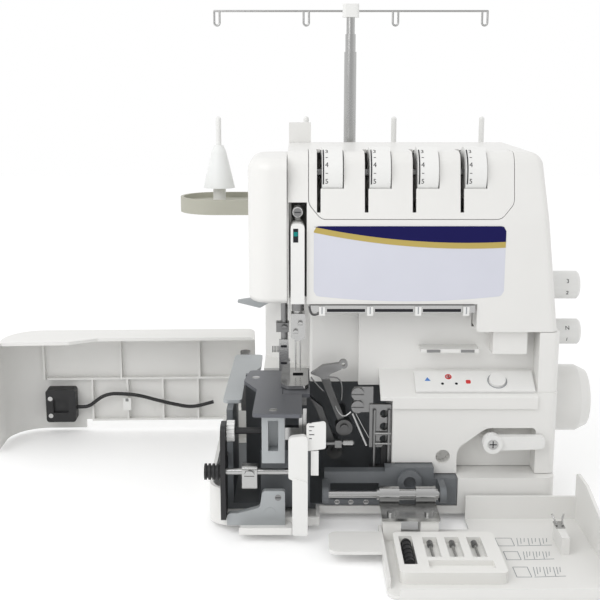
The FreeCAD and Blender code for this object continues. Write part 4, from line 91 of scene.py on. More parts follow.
# Dials and the direction of their numbers
ACROSS = (1, 0, 0)
DIAL_FIRST = 25.6
DIAL_PITCH = 38.0
DIAL_COUNT = 4
DIAL_WIDTH = 16.4
DIAL_RADIUS = 21.0
DIAL_Y = -37.0
DIAL_Z = 283.5
DIGITS = ("3", "4", "5")
DIGIT_FIRST = 58.0
DIGIT_STEP = -36.0
DIGIT_SIZE = 5.6
DIGIT_INSET = 3.8
TICK_WIDTH = 1.8
TICK_RADIUS = 0.28
LINE_INSET = 1.1
LINE_RADIUS = 0.55
LINE_LOW = -20.0
LINE_STEP = 6.0
LINE_STEPS = 14
SIDE_DIAL_Y = -5.0
SIDE_NUMBER_OFFSET = 5.0
SIDE_NUMBER_SIZE = 5.0
LENGTH_DIAL_RADIUS = 12.05
LENGTH_DIAL_X = 227.0
LENGTH_DIAL_Z = 185.0
DIFFERENTIAL_DIAL_RADIUS = 11.05
DIFFERENTIAL_DIAL_X = 229.0
DIFFERENTIAL_DIAL_Z = 144.0

# Take-up cover
TAKE_UP_SCREW_X = -1.9
TAKE_UP_SCREW_Y = -58.2
TAKE_UP_SCREW_Z = 254.0
TAKE_UP_SCREW_RADIUS = 3.6
TAKE_UP_SCREW_THICK = 0.3
TAKE_UP_SLOT_REACH = 2.5
TAKE_UP_SLOT_HALF = 0.4
TAKE_UP_SLOT_Y = (-58.3, -58.1)
TAKE_UP_WINDOW_X = (-5.4, -1.4)
TAKE_UP_WINDOW_Y = (-66.2, -65.9)
TAKE_UP_WINDOW_Z = (231.0, 242.0)
TAKE_UP_MARK_X = (-5.0, -1.8)
TAKE_UP_MARK_Y = (-66.4, -66.1)
TAKE_UP_MARK_Z = (236.0, 239.4)

# Tilted threading panel
PANEL_Y = -53.0
PANEL_Z = 111.5
PANEL_RUN = 26.0
PANEL_RISE = 17.0
PANEL_PROUD = 2.6
BUTTON_X = 163.0
BUTTON_RING = 8.2
BUTTON_RING_WIDTH = 0.8
ICON_TRIANGLE = [(103, 0), (108, 0), (105.5, 4)]
ICON_DISC = (123.0, 4.5)
ICON_DISC_RADIUS = 2.8
ICON_CENTRE_RADIUS = 1.8
ICON_SPOT_RADIUS = 0.8
ICON_LEFT = (117.5, -3.0)
ICON_RIGHT = (129.0, -3.0)
ICON_SIDE_RADIUS = 1.2
ICON_SQUARE_X = (137.0, 141.0)
ICON_SQUARE_S = (-3.0, 1.0)
ICON_SQUARE_CORNER = 1.0

# Thread guides under the head
GUIDE_FIRST = 17.7
GUIDE_PITCH = 38.67
GUIDE_HALF = 2.4
GUIDE_Y = (-66.4, -64.05)
GUIDE_Z = (171.5, 178.6)
GUIDE_SLIT_HALF = 0.4
GUIDE_SLIT_Y = (-66.55, -66.4)
GUIDE_SLIT_Z = (173.0, 178.6)
GUIDE_SLOT_INSET = 4.0
GUIDE_SLOT_Y = (-64.2, -64.05)
GUIDE_SLOT_Z = (174.2, 176.6)

# Clips and lever screw on the column, scale on the guard
COLUMN_CLIPS = (104.0, 132.0)
COLUMN_CLIP_LENGTH = 11.0
COLUMN_CLIP_Y = (-56.7, -56.05)
COLUMN_CLIP_Z = (138.4, 140.6)
LEVER_SCREW_X = 158.0
LEVER_SCREW_Y = -73.95
LEVER_SCREW_Z = 65.0
LEVER_SCREW_RADIUS = 4.2
LEVER_SCREW_THICK = 0.3
LEVER_CROSS_REACH = 3.0
LEVER_CROSS_HALF = 0.4
LEVER_CROSS_Y = (-74.05, -73.95)
SCALE_COUNT = 5
SCALE_FIRST = 86.0
SCALE_PITCH = 3.2
SCALE_LINE = 0.6
SCALE_LEFT = 7.0
SCALE_ENDS = (9.0, 11.0)
SCALE_Y = (-119.2, -119.05)

# Looper bay
LOOPER_WIRE = [(29, -61, 94), (31, -62, 89), (37, -62, 84), (42, -61, 89)]
LOOPER_WIRE_RADIUS = 0.7
UPPER_WIRE = [(20, -61, 118), (30, -61, 120), (35.5, -61, 112), (34, -61, 99)]
TIP_WIRE = [(9, -61, 119), (11, -61, 115), (19, -61, 107)]
BAY_WIRE_RADIUS = 0.6
HEAD_HOOK = [(7.6, -64.4, 179), (8, -65, 173), (13, -65, 171.4), (17.5, -65, 174.7)]
HEAD_HOOK_RADIUS = 0.9
THIN_WIRE = [(46, -62, 88), (51, -62, 78), (57, -62, 67)]
THIN_WIRE_RADIUS = 0.4
LINK_TOP = (43, -61.5, 88)
LINK_FOOT = (55, -61.5, 60)
LINK_RADIUS = 1.2
GUIDE_PIN_X = (62.0, 75.4)
GUIDE_PIN_Y = -61.6
GUIDE_PIN_HEIGHTS = (61.5, 70.5)
GUIDE_PIN_RADIUS = 1.1
ROD_LEFT = (15, -58.5, 60)
ROD_RIGHT = (45, -58.5, 61)
ROD_RADIUS = 1.6
ROD_JOINT_X = (29.0, 34.5)
ROD_JOINT_Y = (-61.0, -56.0)
ROD_JOINT_Z = (57.6, 63.8)
COLLAR_LEFT = (36, -58.5, 61)
COLLAR_RIGHT = (44, -58.5, 61)
COLLAR_RADIUS = 3.0

# Presser foot
SHANK_X = (-18.0, -9.8)
SHANK_Y = (-11.6, -9.1)
SHANK_Z = (110.0, 138.0)
SHANK_SLOT_X = (-16.5, -11.3)
SHANK_SLOT_Y = (-11.8, -11.6)
SHANK_SLOT_HEIGHTS = (116.0, 131.0)
SHANK_SLOT_WIDTH = 2.0
SPRING_LEFT = -24.0
SPRING_COILS = 5
SPRING_PITCH = 1.3
SPRING_WIRE = 0.7
SPRING_Y = -9.5
SPRING_Z = 129.0
SPRING_RADIUS = 2.8

# Guard and bed beam
SCREW_PROUD = 3 * INK
SCREW_SLOT_SHARE = 0.8
SCREW_SLOT_HALF = 0.35
GUARD_FRONT = -104.4
GUARD_BOSS_X = -24.0
GUARD_BOSS_Z = 18.5
GUARD_BOSS_RADIUS = 4.6
GUARD_SCREW_X = -17.5
GUARD_SCREW_Z = 31.5
GUARD_SCREW_RADIUS = 2.6
GUARD_TAB_X = (8.4, 14.4)
GUARD_TAB_Y = (-118.8, -115.5)
GUARD_TAB_Z = (56.0, 76.0)
BEAM_SCREWS = (30.6, 42.0, 54.5)
BEAM_SCREW_Y = -74.95
BEAM_SCREW_Z = 15.6
BEAM_SCREW_RADIUS = 2.2

# Open side cover
SWITCH_SCREW_X = -254.0
SWITCH_SCREW_Y = 134.2
SWITCH_SCREW_HEIGHTS = (21.0, 39.0)
SWITCH_SCREW_RADIUS = 2.4
SWITCH_SCREW_THICK = 0.4
CABLE_CLIP_X = (-181.0, -173.0)
CABLE_CLIP_Y = (140.6, 141.4)
CABLE_CLIP_Z = (25.0, 38.0)
CLIP_SCREW_X = (-178.5, -175.5)
CLIP_SCREW_Y = (140.2, 140.6)
CLIP_SCREW_Z = (34.5, 37.5)

# Folded-out front cover
COVER_INSIDE = 3.25
SKETCHES = {
    "sketch far": (154, 196, -132, -118),
    "sketch middle": (156, 192, -156, -142),
    "sketch near": (158, 194, -184, -168),
}
SKETCH_LINE = 0.5
SKETCH_LEAN = 1.5
SKETCH_STROKES = 9
SKETCH_FRAME_SHARE = 0.3
SKETCH_GAP = 3
SKETCH_BASE_GAP = 2
SKETCH_LOW_SHARE = 0.1
SKETCH_STEP_SHARE = 0.2
SKETCH_CYCLE = 3
COVER_CLIP_X = 202.0
CLIP_PLATE_HALF = 3.6
CLIP_PLATE_Y = (-131.0, -119.2)
CLIP_PLATE_Z = (17.2, 18.2)
PRONG_SIDES = (-2.4, 2.4)
PRONG_FOOT = (-128.0, 18.4)
PRONG_BEND = (-122.0, 20.5)
PRONG_TIP = (-119.5, 24.5)
PRONG_RADIUS = 0.7

# Tools in the accessory tray
TRAY_FLOOR = 6.2
TRAY_TOP = 12.2
TOOL_X = 81.0
TOOL_Y = (-176.0, -140.0)
TOOL_LIFT = 0.6
TOOL_RADIUS = 3.6
TOOL_RINGS = 5
TOOL_RING_FIRST = -172.0
TOOL_RING_PITCH = 7.0
TOOL_RING_WIDTH = 2.0
TOOL_RING_RADIUS = 4.1
SMALL_TOOLS = (99.5, 116.5, 133.5)
SMALL_TOOL_Y = (-166.0, -139.0)
SMALL_TOOL_RADIUS = 1.2
SMALL_TOOL_NECK = -144.0
SMALL_TOOL_HEAD_RADIUS = 2.4

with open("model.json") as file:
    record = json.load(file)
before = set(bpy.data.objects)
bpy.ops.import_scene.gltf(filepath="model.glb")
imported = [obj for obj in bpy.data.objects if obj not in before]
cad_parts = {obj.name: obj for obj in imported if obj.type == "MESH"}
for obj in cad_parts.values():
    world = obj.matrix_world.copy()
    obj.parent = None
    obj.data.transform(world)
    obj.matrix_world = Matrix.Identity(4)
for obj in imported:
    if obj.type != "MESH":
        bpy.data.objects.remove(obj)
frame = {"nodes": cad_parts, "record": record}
nodes = frame["nodes"]


def note_size():
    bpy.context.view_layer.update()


note_size()


# Materials
def noise(tree, scale, stretch=(1.0, 1.0, 1.0)):
    place = tree.nodes.new("ShaderNodeTexCoord")
    spread = tree.nodes.new("ShaderNodeMapping")
    spread.inputs["Scale"].default_value = stretch
    cloud = tree.nodes.new("ShaderNodeTexNoise")
    cloud.inputs["Scale"].default_value = scale
    cloud.inputs["Detail"].default_value = NOISE_DETAIL
    tree.links.new(place.outputs["Object"], spread.inputs["Vector"])
    tree.links.new(spread.outputs["Vector"], cloud.inputs["Vector"])
    return cloud.outputs["Fac"]


def ranged(tree, value, low, high):
    span = tree.nodes.new("ShaderNodeMapRange")
    span.inputs["To Min"].default_value = low
    span.inputs["To Max"].default_value = high
    tree.links.new(value, span.inputs["Value"])
    return span.outputs["Result"]


def shaded(tree, value, color, change):
    ramp = tree.nodes.new("ShaderNodeValToRGB")
    ramp.color_ramp.elements[0].color = (*[c * (1 - change) for c in color], 1.0)
    ramp.color_ramp.elements[1].color = (*[min(c * (1 + change), 1.0) for c in color], 1.0)
    tree.links.new(value, ramp.inputs["Fac"])
    return ramp.outputs["Color"]


def surface(name, color, rough, metal=0.0, coat=0.0, gloss=0.5, mottle=0.02, grain=0.04, scale=1500.0,
            stretch=(1.0, 1.0, 1.0)):
    material = bpy.data.materials.new(name)
    material.use_nodes = True
    tree = material.node_tree
    shader = tree.nodes["Principled BSDF"]
    shader.inputs["Metallic"].default_value = metal
    shader.inputs["Coat Weight"].default_value = coat
    shader.inputs["Specular IOR Level"].default_value = gloss
    broad = noise(tree, MOTTLE_SCALE)
    fine = noise(tree, scale, stretch)
    relief = tree.nodes.new("ShaderNodeBump")
    relief.inputs["Strength"].default_value = grain
    relief.inputs["Distance"].default_value = GRAIN_DEPTH * MM
    tree.links.new(shaded(tree, broad, color, mottle), shader.inputs["Base Color"])
    roughness = ranged(tree, fine, rough - ROUGH_CHANGE, rough + ROUGH_CHANGE)
    tree.links.new(roughness, shader.inputs["Roughness"])
    tree.links.new(fine, relief.inputs["Height"])
    tree.links.new(relief.outputs["Normal"], shader.inputs["Normal"])
    return material


def frosted(name, color, rough, glow):
    material = surface(name, color, rough)
    shader = material.node_tree.nodes["Principled BSDF"]
    shader.inputs["Subsurface Weight"].default_value = glow
    shader.inputs["Subsurface Radius"].default_value = (GLOW_REACH * MM,) * 3
    return material


def casting(name, color):
    return surface(name, color, rough=0.5, metal=0.3, mottle=0.06, grain=0.3, scale=900.0)


def brushed(name, color, rough):
    return surface(name, color, rough, metal=1.0, mottle=0.05, grain=0.06, scale=300.0, stretch=BRUSH)


def printed(name, color):
    return surface(name, color, rough=0.5, gloss=0.15, mottle=0.03, grain=0.02)


looks = {
    "white_casing": surface("white casing", (0.77, 0.765, 0.745), rough=0.38, coat=0.1),
    "white_trim": surface("white trim", (0.79, 0.79, 0.775), rough=0.42),
    "frosted_white": frosted("frosted white", (0.80, 0.81, 0.80), rough=0.45, glow=0.3),
    "tray_beige": surface("tray beige", (0.42, 0.415, 0.35), rough=0.55, grain=0.15, mottle=0.04),
    "cast_grey": casting("cast grey", (0.16, 0.17, 0.18)),
    "light_cast": casting("light cast", (0.42, 0.44, 0.45)),
    "dark_plate": surface("dark plate", (0.13, 0.135, 0.15), rough=0.4, metal=0.6, grain=0.1, mottle=0.05),
    "bright_steel": brushed("bright steel", (0.46, 0.46, 0.455), rough=0.2),
    "steel": brushed("steel", (0.25, 0.25, 0.25), rough=0.34),
    "black_plastic": surface("black plastic", (0.012, 0.012, 0.013), rough=0.5, grain=0.1),
    "rubber": surface("rubber", (0.02, 0.02, 0.02), rough=0.8, grain=0.2),
}
# Dark ink and grey ink are print, and they are also painted shade in screw slots, guide slots and slits,
# shank slots and the take-up window.
ink_and_slot_shade = printed("dark ink", (0.02, 0.02, 0.024))
grey_ink_and_slit_shade = printed("grey ink", (0.30, 0.31, 0.33))
navy = printed("navy print", (0.006, 0.005, 0.075))
gold = printed("gold print", (0.48, 0.37, 0.11))
lavender = printed("label ground", (0.64, 0.65, 0.72))
red = printed("red print", (0.60, 0.05, 0.05))
blue = printed("blue print", (0.08, 0.22, 0.55))
green = printed("green mark", (0.01, 0.22, 0.20))
paper = printed("pale print", (0.74, 0.75, 0.76))
ivory = surface("ivory tray", (0.80, 0.795, 0.77), rough=0.45)
dark_steel = brushed("dark steel", (0.11, 0.11, 0.11), rough=0.3)


# Making pieces
def span(middle, half):
    return (middle - half, middle + half)


def at(x, y, z):
    return Vector(((x + SHIFT_X) * MM, (y + SHIFT_Y) * MM, z * MM))


def piece(name, points, faces, material, body):
    mesh = bpy.data.meshes.new(name)
    mesh.from_pydata([at(*p) for p in points], [], faces)
    mesh.materials.append(material)
    made = bpy.data.objects.new(name.replace(" ", "_"), mesh)
    bpy.context.scene.collection.objects.link(made)
    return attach(made, body)


def block(name, x0, x1, y0, y1, z0, z1, material, body="root"):
    points = [(x, y, z) for x in (x0, x1) for y in (y0, y1) for z in (z0, z1)]
    faces = [(0, 1, 3, 2), (4, 6, 7, 5), (0, 4, 5, 1), (2, 3, 7, 6), (0, 2, 6, 4), (1, 5, 7, 3)]
    return piece(name, points, faces, material, body)


def slab(name, near, far, material, body):
    count = len(near)
    faces = [tuple(range(count)), tuple(reversed(range(count, 2 * count)))]
    for i in range(count):
        j = (i + 1) % count
        faces.append((i, i + count, j + count, j))
    return piece(name, near + far, faces, material, body)


def upright(name, outline, y, thick, material, body="root"):
    near = [(x, y, z) for x, z in outline]
    far = [(x, y + thick, z) for x, z in outline]
    return slab(name, near, far, material, body)


def laid(name, outline, z, thick, material, body):
    near = [(x, y, z + thick) for x, y in outline]
    far = [(x, y, z) for x, y in outline]
    return slab(name, near, far, material, body)


def ring_points(u, v, radius, count=RING_STEPS):
    turns = [2 * math.pi * i / count for i in range(count)]
    return [(u + radius * math.cos(t), v + radius * math.sin(t)) for t in turns]


def rounded(u0, u1, v0, v1, radius, steps=CORNER_STEPS):
    corners = [(u1 - radius, v1 - radius, 0), (u0 + radius, v1 - radius, 90)]
    corners += [(u0 + radius, v0 + radius, 180), (u1 - radius, v0 + radius, 270)]
    points = []
    for u, v, start in corners:
        for i in range(steps + 1):
            turn = math.radians(start + 90 * i / steps)
            points.append((u + radius * math.cos(turn), v + radius * math.sin(turn)))
    return points


def bar(name, start, end, radius, material, body, count=BAR_STEPS):
    a = Vector(start)
    b = Vector(end)
    along = (b - a).normalized()
    side = along.orthogonal().normalized()
    other = along.cross(side)
    near = []
    far = []
    for i in range(count):
        turn = 2 * math.pi * i / count
        reach = radius * (math.cos(turn) * side + math.sin(turn) * other)
        near.append(tuple(a + reach))
        far.append(tuple(b + reach))
    return slab(name, near, far, material, body)


def wire(name, points, radius, material, body):
    curve = bpy.data.curves.new(name, "CURVE")
    curve.dimensions = "3D"
    curve.bevel_depth = radius * MM
    curve.bevel_resolution = WIRE_STEPS
    curve.use_fill_caps = True
    line = curve.splines.new("NURBS")
    line.points.add(len(points) - 1)
    for control, point in zip(line.points, points):
        control.co = (*at(*point), 1.0)
    line.order_u = WIRE_ORDER
    line.use_endpoint_u = True
    return meshed(name, curve, material, body)


def meshed(name, curve, material, body):
    holder = bpy.data.objects.new(name, curve)
    bpy.context.scene.collection.objects.link(holder)
    mesh = bpy.data.meshes.new_from_object(holder.evaluated_get(bpy.context.evaluated_depsgraph_get()))
    bpy.data.objects.remove(holder)
    mesh.materials.clear()
    mesh.materials.append(material)
    made = bpy.data.objects.new(name.replace(" ", "_"), mesh)
    bpy.context.scene.collection.objects.link(made)
    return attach(made, body)


def writing(name, words, place, right, up, size, material, body):
    curve = bpy.data.curves.new(name, "FONT")
    curve.body = words
    curve.size = size * MM
    curve.align_x = "CENTER"
    curve.align_y = "CENTER"
    curve.extrude = LIFT * MM / 2
    made = meshed(name, curve, material, body)
    across = Vector(right).normalized()
    upward = Vector(up).normalized()
    turn = Matrix((across, upward, across.cross(upward))).transposed().to_4x4()
    made.data.transform(Matrix.Translation(at(*place)) @ turn)
    return made


# Finish of the parts from the construction
def finish_nodes():
    slots = {entry["node"]: entry["material_slot"] for entry in frame["record"]["subparts"]}
    for name, node in nodes.items():
        node.data.materials.clear()
        node.data.materials.append(looks[slots[name]])
        for face in node.data.polygons:
            face.use_smooth = True
        soft = node.modifiers.new("soft edges", "BEVEL")
        soft.width = EDGE_ROUND * MM
        soft.segments = EDGE_STEPS
        soft.limit_method = "ANGLE"
        soft.angle_limit = math.radians(EDGE_ANGLE)
        split = node.modifiers.new("crisp edges", "EDGE_SPLIT")
        split.split_angle = math.radians(SPLIT_ANGLE)


def paint(node, material, belongs):
    mesh = nodes[node].data
    mesh.materials.append(material)
    for face in mesh.polygons:
        x, y, z = face.center / MM
        if belongs(x - SHIFT_X, y - SHIFT_Y, z):
            face.material_index = len(mesh.materials) - 1


def two_tone_and_painted_shade_nodes():
    black = looks["black_plastic"]
    paint("upper_knife", black, lambda x, y, z: x < GRIP_RIGHT)
    paint("width_dial", black, lambda x, y, z: x > WIDTH_WHEEL_RIGHT)
    paint("accessory_tray", ivory, lambda x, y, z: True)
    paint("upper_looper", looks["steel"], lambda x, y, z: True)
    paint("upper_looper", dark_steel, lambda x, y, z: z < UPPER_ARM_TOP)
    paint("lower_looper", dark_steel, lambda x, y, z: True)
    # Painted shade: the lower part of the looper guide plate is black, standing in for the shade deep in
    # the looper bay.
    paint("looper_guides", black, lambda x, y, z: z < GUIDE_PLATE_SHADE_TOP)
    # Painted shade: the lowest part of the thread guide bar, under the head, is painted dark steel.
    paint("thread_guide_bar", dark_steel, lambda x, y, z: z < GUIDE_SHADE_TOP)


# Label with a curved band, without words
def band_height(share, left, right, sag):
    straight = left + (right - left) * share
    return straight + sag * 4 * share * (1 - share)


def corner_drop(x):
    past = max(LABEL_LEFT + LABEL_CORNER - x, x - LABEL_RIGHT + LABEL_CORNER, 0.0)
    return LABEL_CORNER - math.sqrt(max(LABEL_CORNER ** 2 - past ** 2, 0.0))


def band(name, upper, lower, y, material):
    top = []
    bottom = []
    for i in range(BAND_STEPS + 1):
        share = i / BAND_STEPS
        x = LABEL_LEFT + (LABEL_RIGHT - LABEL_LEFT) * share
        drop = corner_drop(x)
        low = max(band_height(share, *lower), LABEL_LOW + drop + band_height(share, 0.0, 0.0, LABEL_BOW))
        high = min(band_height(share, *upper), LABEL_HIGH - drop)
        bottom.append((x, low))
        top.append((x, max(high, low + THIN)))
    upright(name, bottom + top[::-1], y, INK, material)


def label():
    top = (LABEL_HIGH, LABEL_HIGH, 0.0)
    low = (LABEL_LOW, LABEL_LOW, LABEL_BOW)
    band("label ground", top, low, HEAD_FRONT - LIFT, lavender)
    band("label stripe", STRIPE_TOP, STRIPE_LOW, HEAD_FRONT - 2 * LIFT, gold)
    band("label band", top, STRIPE_TOP, HEAD_FRONT - 3 * LIFT, navy)


# Numbers and ticks on the dials
def drum_place(x, degrees, radius):
    turn = math.radians(degrees)
    return (x, DIAL_Y - radius * math.cos(turn), DIAL_Z + radius * math.sin(turn))


def drum_up(degrees):
    turn = math.radians(degrees)
    return (0, math.sin(turn), math.cos(turn))


def tension_dial(index):
    left = DIAL_FIRST + index * DIAL_PITCH - DIAL_WIDTH / 2
    x = left + DIGIT_INSET
    body = f"tension_dial_{index + 1}"
    for i, words in enumerate(DIGITS):
        degrees = DIGIT_FIRST + i * DIGIT_STEP
        place = drum_place(x, degrees, DIAL_RADIUS)
        writing(f"{body} number {words}", words, place, ACROSS, drum_up(degrees), DIGIT_SIZE, ink_and_slot_shade, body)
        start = drum_place(x - TICK_WIDTH / 2, degrees + DIGIT_STEP / 2, DIAL_RADIUS)
        end = drum_place(x + TICK_WIDTH / 2, degrees + DIGIT_STEP / 2, DIAL_RADIUS)
        bar(f"{body} tick {words}", start, end, TICK_RADIUS, ink_and_slot_shade, body, count=TICK_STEPS)
    line = left + LINE_INSET
    for i in range(LINE_STEPS):
        start = drum_place(line, LINE_LOW + i * LINE_STEP, DIAL_RADIUS)
        end = drum_place(line, LINE_LOW + (i + 1) * LINE_STEP, DIAL_RADIUS)
        bar(f"{body} line {i}", start, end, LINE_RADIUS, ink_and_slot_shade, body, count=TICK_STEPS)


def side_dial(body, radius, x, z, upper, lower):
    for offset, words in ((SIDE_NUMBER_OFFSET, upper), (-SIDE_NUMBER_OFFSET, lower)):
        turn = math.asin(offset / radius)
        place = (x, SIDE_DIAL_Y - radius * math.cos(turn), z + offset)
        up = (0, math.sin(turn), math.cos(turn))
        writing(f"{body} number {words}", words, place, ACROSS, up, SIDE_NUMBER_SIZE, ink_and_slot_shade, body)


# Take-up cover marks
def take_up_marks():
    outline = ring_points(TAKE_UP_SCREW_X, TAKE_UP_SCREW_Z, TAKE_UP_SCREW_RADIUS)
    across = span(TAKE_UP_SCREW_X, TAKE_UP_SLOT_REACH)
    upward = span(TAKE_UP_SCREW_Z, TAKE_UP_SLOT_HALF)
    upright("take-up screw", outline, TAKE_UP_SCREW_Y, TAKE_UP_SCREW_THICK, looks["steel"])
    # Painted shade: the dark screw slot and the dark window stand for the shade inside these openings.
    block("take-up screw slot", *across, *TAKE_UP_SLOT_Y, *upward, ink_and_slot_shade)
    block("take-up window", *TAKE_UP_WINDOW_X, *TAKE_UP_WINDOW_Y, *TAKE_UP_WINDOW_Z, ink_and_slot_shade)
    block("take-up mark", *TAKE_UP_MARK_X, *TAKE_UP_MARK_Y, *TAKE_UP_MARK_Z, green)


# Thread guides under the head
def thread_guides():
    places = [GUIDE_FIRST + i * GUIDE_PITCH for i in range(DIAL_COUNT)]
    for i, x in enumerate(places):
        block(f"thread guide {i}", *span(x, GUIDE_HALF), *GUIDE_Y, *GUIDE_Z, looks["white_trim"])
        # Painted shade: the grey slit in each guide is the shade inside the slit.
        block(f"thread guide slit {i}", *span(x, GUIDE_SLIT_HALF), *GUIDE_SLIT_Y, *GUIDE_SLIT_Z, grey_ink_and_slit_shade)
    for i, x in enumerate(places[:-1]):
        left = x + GUIDE_SLOT_INSET
        right = x + GUIDE_PITCH - GUIDE_SLOT_INSET
        # Painted shade: the dark slots between the guides are the shade inside the slots.
        block(f"guide slot {i}", left, right, *GUIDE_SLOT_Y, *GUIDE_SLOT_Z, ink_and_slot_shade)


# Clips and lever screw on the column, scale on the guard
def column_fittings():
    for i, x in enumerate(COLUMN_CLIPS):
        block(f"column clip {i}", x, x + COLUMN_CLIP_LENGTH, *COLUMN_CLIP_Y, *COLUMN_CLIP_Z, looks["steel"])
    outline = ring_points(LEVER_SCREW_X, LEVER_SCREW_Z, LEVER_SCREW_RADIUS)
    upright("lever screw", outline, LEVER_SCREW_Y, LEVER_SCREW_THICK, looks["bright_steel"])
    # Painted shade: the dark cross on the lever screw is the shade inside its recess.
    for name, reach, rise in (
        ("lever screw cross", LEVER_CROSS_REACH, LEVER_CROSS_HALF),
        ("lever screw upright", LEVER_CROSS_HALF, LEVER_CROSS_REACH),
    ):
        block(name, *span(LEVER_SCREW_X, reach), *LEVER_CROSS_Y, *span(LEVER_SCREW_Z, rise), ink_and_slot_shade)
    for i in range(SCALE_COUNT):
        z = SCALE_FIRST + i * SCALE_PITCH
        block(f"scale mark {i}", SCALE_LEFT, SCALE_ENDS[i % 2], *SCALE_Y, z, z + SCALE_LINE, ink_and_slot_shade)


# Wires, links and pins in the looper bay
def looper_bay():
    bright = looks["bright_steel"]
    steel = looks["steel"]
    wire("looper wire", LOOPER_WIRE, LOOPER_WIRE_RADIUS, bright, "root")
    wire("upper wire", UPPER_WIRE, BAY_WIRE_RADIUS, steel, "root")
    wire("tip wire", TIP_WIRE, BAY_WIRE_RADIUS, steel, "root")
    wire("head hook", HEAD_HOOK, HEAD_HOOK_RADIUS, dark_steel, "root")
    bar("looper link", LINK_TOP, LINK_FOOT, LINK_RADIUS, bright, "root")
    wire("thin wire", THIN_WIRE, THIN_WIRE_RADIUS, bright, "root")
    left, right = GUIDE_PIN_X
    for i, z in enumerate(GUIDE_PIN_HEIGHTS):
        start = (left, GUIDE_PIN_Y, z)
        end = (right, GUIDE_PIN_Y, z)
        bar(f"guide pin {i}", start, end, GUIDE_PIN_RADIUS, bright, "root")
    bar("looper rod", ROD_LEFT, ROD_RIGHT, ROD_RADIUS, steel, "root")
    block("rod joint", *ROD_JOINT_X, *ROD_JOINT_Y, *ROD_JOINT_Z, steel)
    bar("rod collar", COLLAR_LEFT, COLLAR_RIGHT, COLLAR_RADIUS, bright, "root")


# Shank and spring of the presser foot
def foot_fittings():
    block("foot shank", *SHANK_X, *SHANK_Y, *SHANK_Z, looks["bright_steel"], "presser")
    # Painted shade: the dark slots on the shank are the shade inside the slots.
    for i, z in enumerate(SHANK_SLOT_HEIGHTS):
        block(f"foot shank slot {i}", *SHANK_SLOT_X, *SHANK_SLOT_Y, z, z + SHANK_SLOT_WIDTH, ink_and_slot_shade, "presser")
    for i in range(SPRING_COILS):
        x = SPRING_LEFT + i * SPRING_PITCH
        start = (x, SPRING_Y, SPRING_Z)
        end = (x + SPRING_WIRE, SPRING_Y, SPRING_Z)
        bar(f"foot spring {i}", start, end, SPRING_RADIUS, looks["steel"], "presser")


# Screws, boss and tab on the guard and the bed beam
def screw_head(name, x, y, z, radius, material):
    across = span(x, radius * SCREW_SLOT_SHARE)
    upright(name, ring_points(x, z, radius), y, SCREW_PROUD, material)
    # Painted shade: the dark slot in each screw head is the shade inside the slot.
    block(f"{name} slot", *across, y - LIFT, y, *span(z, SCREW_SLOT_HALF), ink_and_slot_shade)


def small_screws():
    boss = ring_points(GUARD_BOSS_X, GUARD_BOSS_Z, GUARD_BOSS_RADIUS)
    upright("guard boss", boss, GUARD_FRONT, SCREW_PROUD, looks["light_cast"])
    screw_head("guard screw", GUARD_SCREW_X, GUARD_FRONT, GUARD_SCREW_Z, GUARD_SCREW_RADIUS, looks["steel"])
    bright = looks["bright_steel"]
    for i, x in enumerate(BEAM_SCREWS):
        screw_head(f"beam screw {i}", x, BEAM_SCREW_Y, BEAM_SCREW_Z, BEAM_SCREW_RADIUS, bright)
    block("guard tab", *GUARD_TAB_X, *GUARD_TAB_Y, *GUARD_TAB_Z, looks["white_trim"])


# Fittings inside the open side cover
def side_fittings():
    bright = looks["bright_steel"]
    for i, z in enumerate(SWITCH_SCREW_HEIGHTS):
        outline = ring_points(SWITCH_SCREW_X, z, SWITCH_SCREW_RADIUS)
        upright(f"switch screw {i}", outline, SWITCH_SCREW_Y, SWITCH_SCREW_THICK, bright, "side_cover")
    block("cable clip", *CABLE_CLIP_X, *CABLE_CLIP_Y, *CABLE_CLIP_Z, looks["white_trim"], "side_cover")
    block("clip screw", *CLIP_SCREW_X, *CLIP_SCREW_Y, *CLIP_SCREW_Z, looks["steel"], "side_cover")


# Icons and ring on the threading panel
def panel_place(x, s):
    length = math.hypot(PANEL_RUN, PANEL_RISE)
    y = PANEL_Y + s * PANEL_RUN / length - PANEL_PROUD * PANEL_RISE / length
    z = PANEL_Z + s * PANEL_RISE / length + PANEL_PROUD * PANEL_RUN / length
    return (x, y, z)


def panel_mark(name, outline, material):
    near = [panel_place(x, s) for x, s in outline]
    far = [(x, y + LIFT, z - LIFT) for x, y, z in near]
    slab(name, near, far, material, "root")


def panel_marks():
    outer = ring_points(BUTTON_X, 0.0, BUTTON_RING)
    inner = ring_points(BUTTON_X, 0.0, BUTTON_RING - BUTTON_RING_WIDTH)
    for i in range(RING_STEPS):
        j = (i + 1) % RING_STEPS
        panel_mark(f"button ring {i}", [outer[i], outer[j], inner[j], inner[i]], grey_ink_and_slit_shade)
    panel_mark("icon triangle", ICON_TRIANGLE, blue)
    panel_mark("icon disc", ring_points(*ICON_DISC, ICON_DISC_RADIUS), red)
    panel_mark("icon disc centre", ring_points(*ICON_DISC, ICON_CENTRE_RADIUS), paper)
    panel_mark("icon spot", ring_points(*ICON_DISC, ICON_SPOT_RADIUS), red)
    panel_mark("icon left", ring_points(*ICON_LEFT, ICON_SIDE_RADIUS), ink_and_slot_shade)
    panel_mark("icon right", ring_points(*ICON_RIGHT, ICON_SIDE_RADIUS), ink_and_slot_shade)
    panel_mark("icon square", rounded(*ICON_SQUARE_X, *ICON_SQUARE_S, ICON_SQUARE_CORNER), red)


# Tools in the accessory tray
def tool_bar(name, x, front, back, z, radius, material):
    bar(name, (x, front, z), (x, back, z), radius, material, "front_cover")


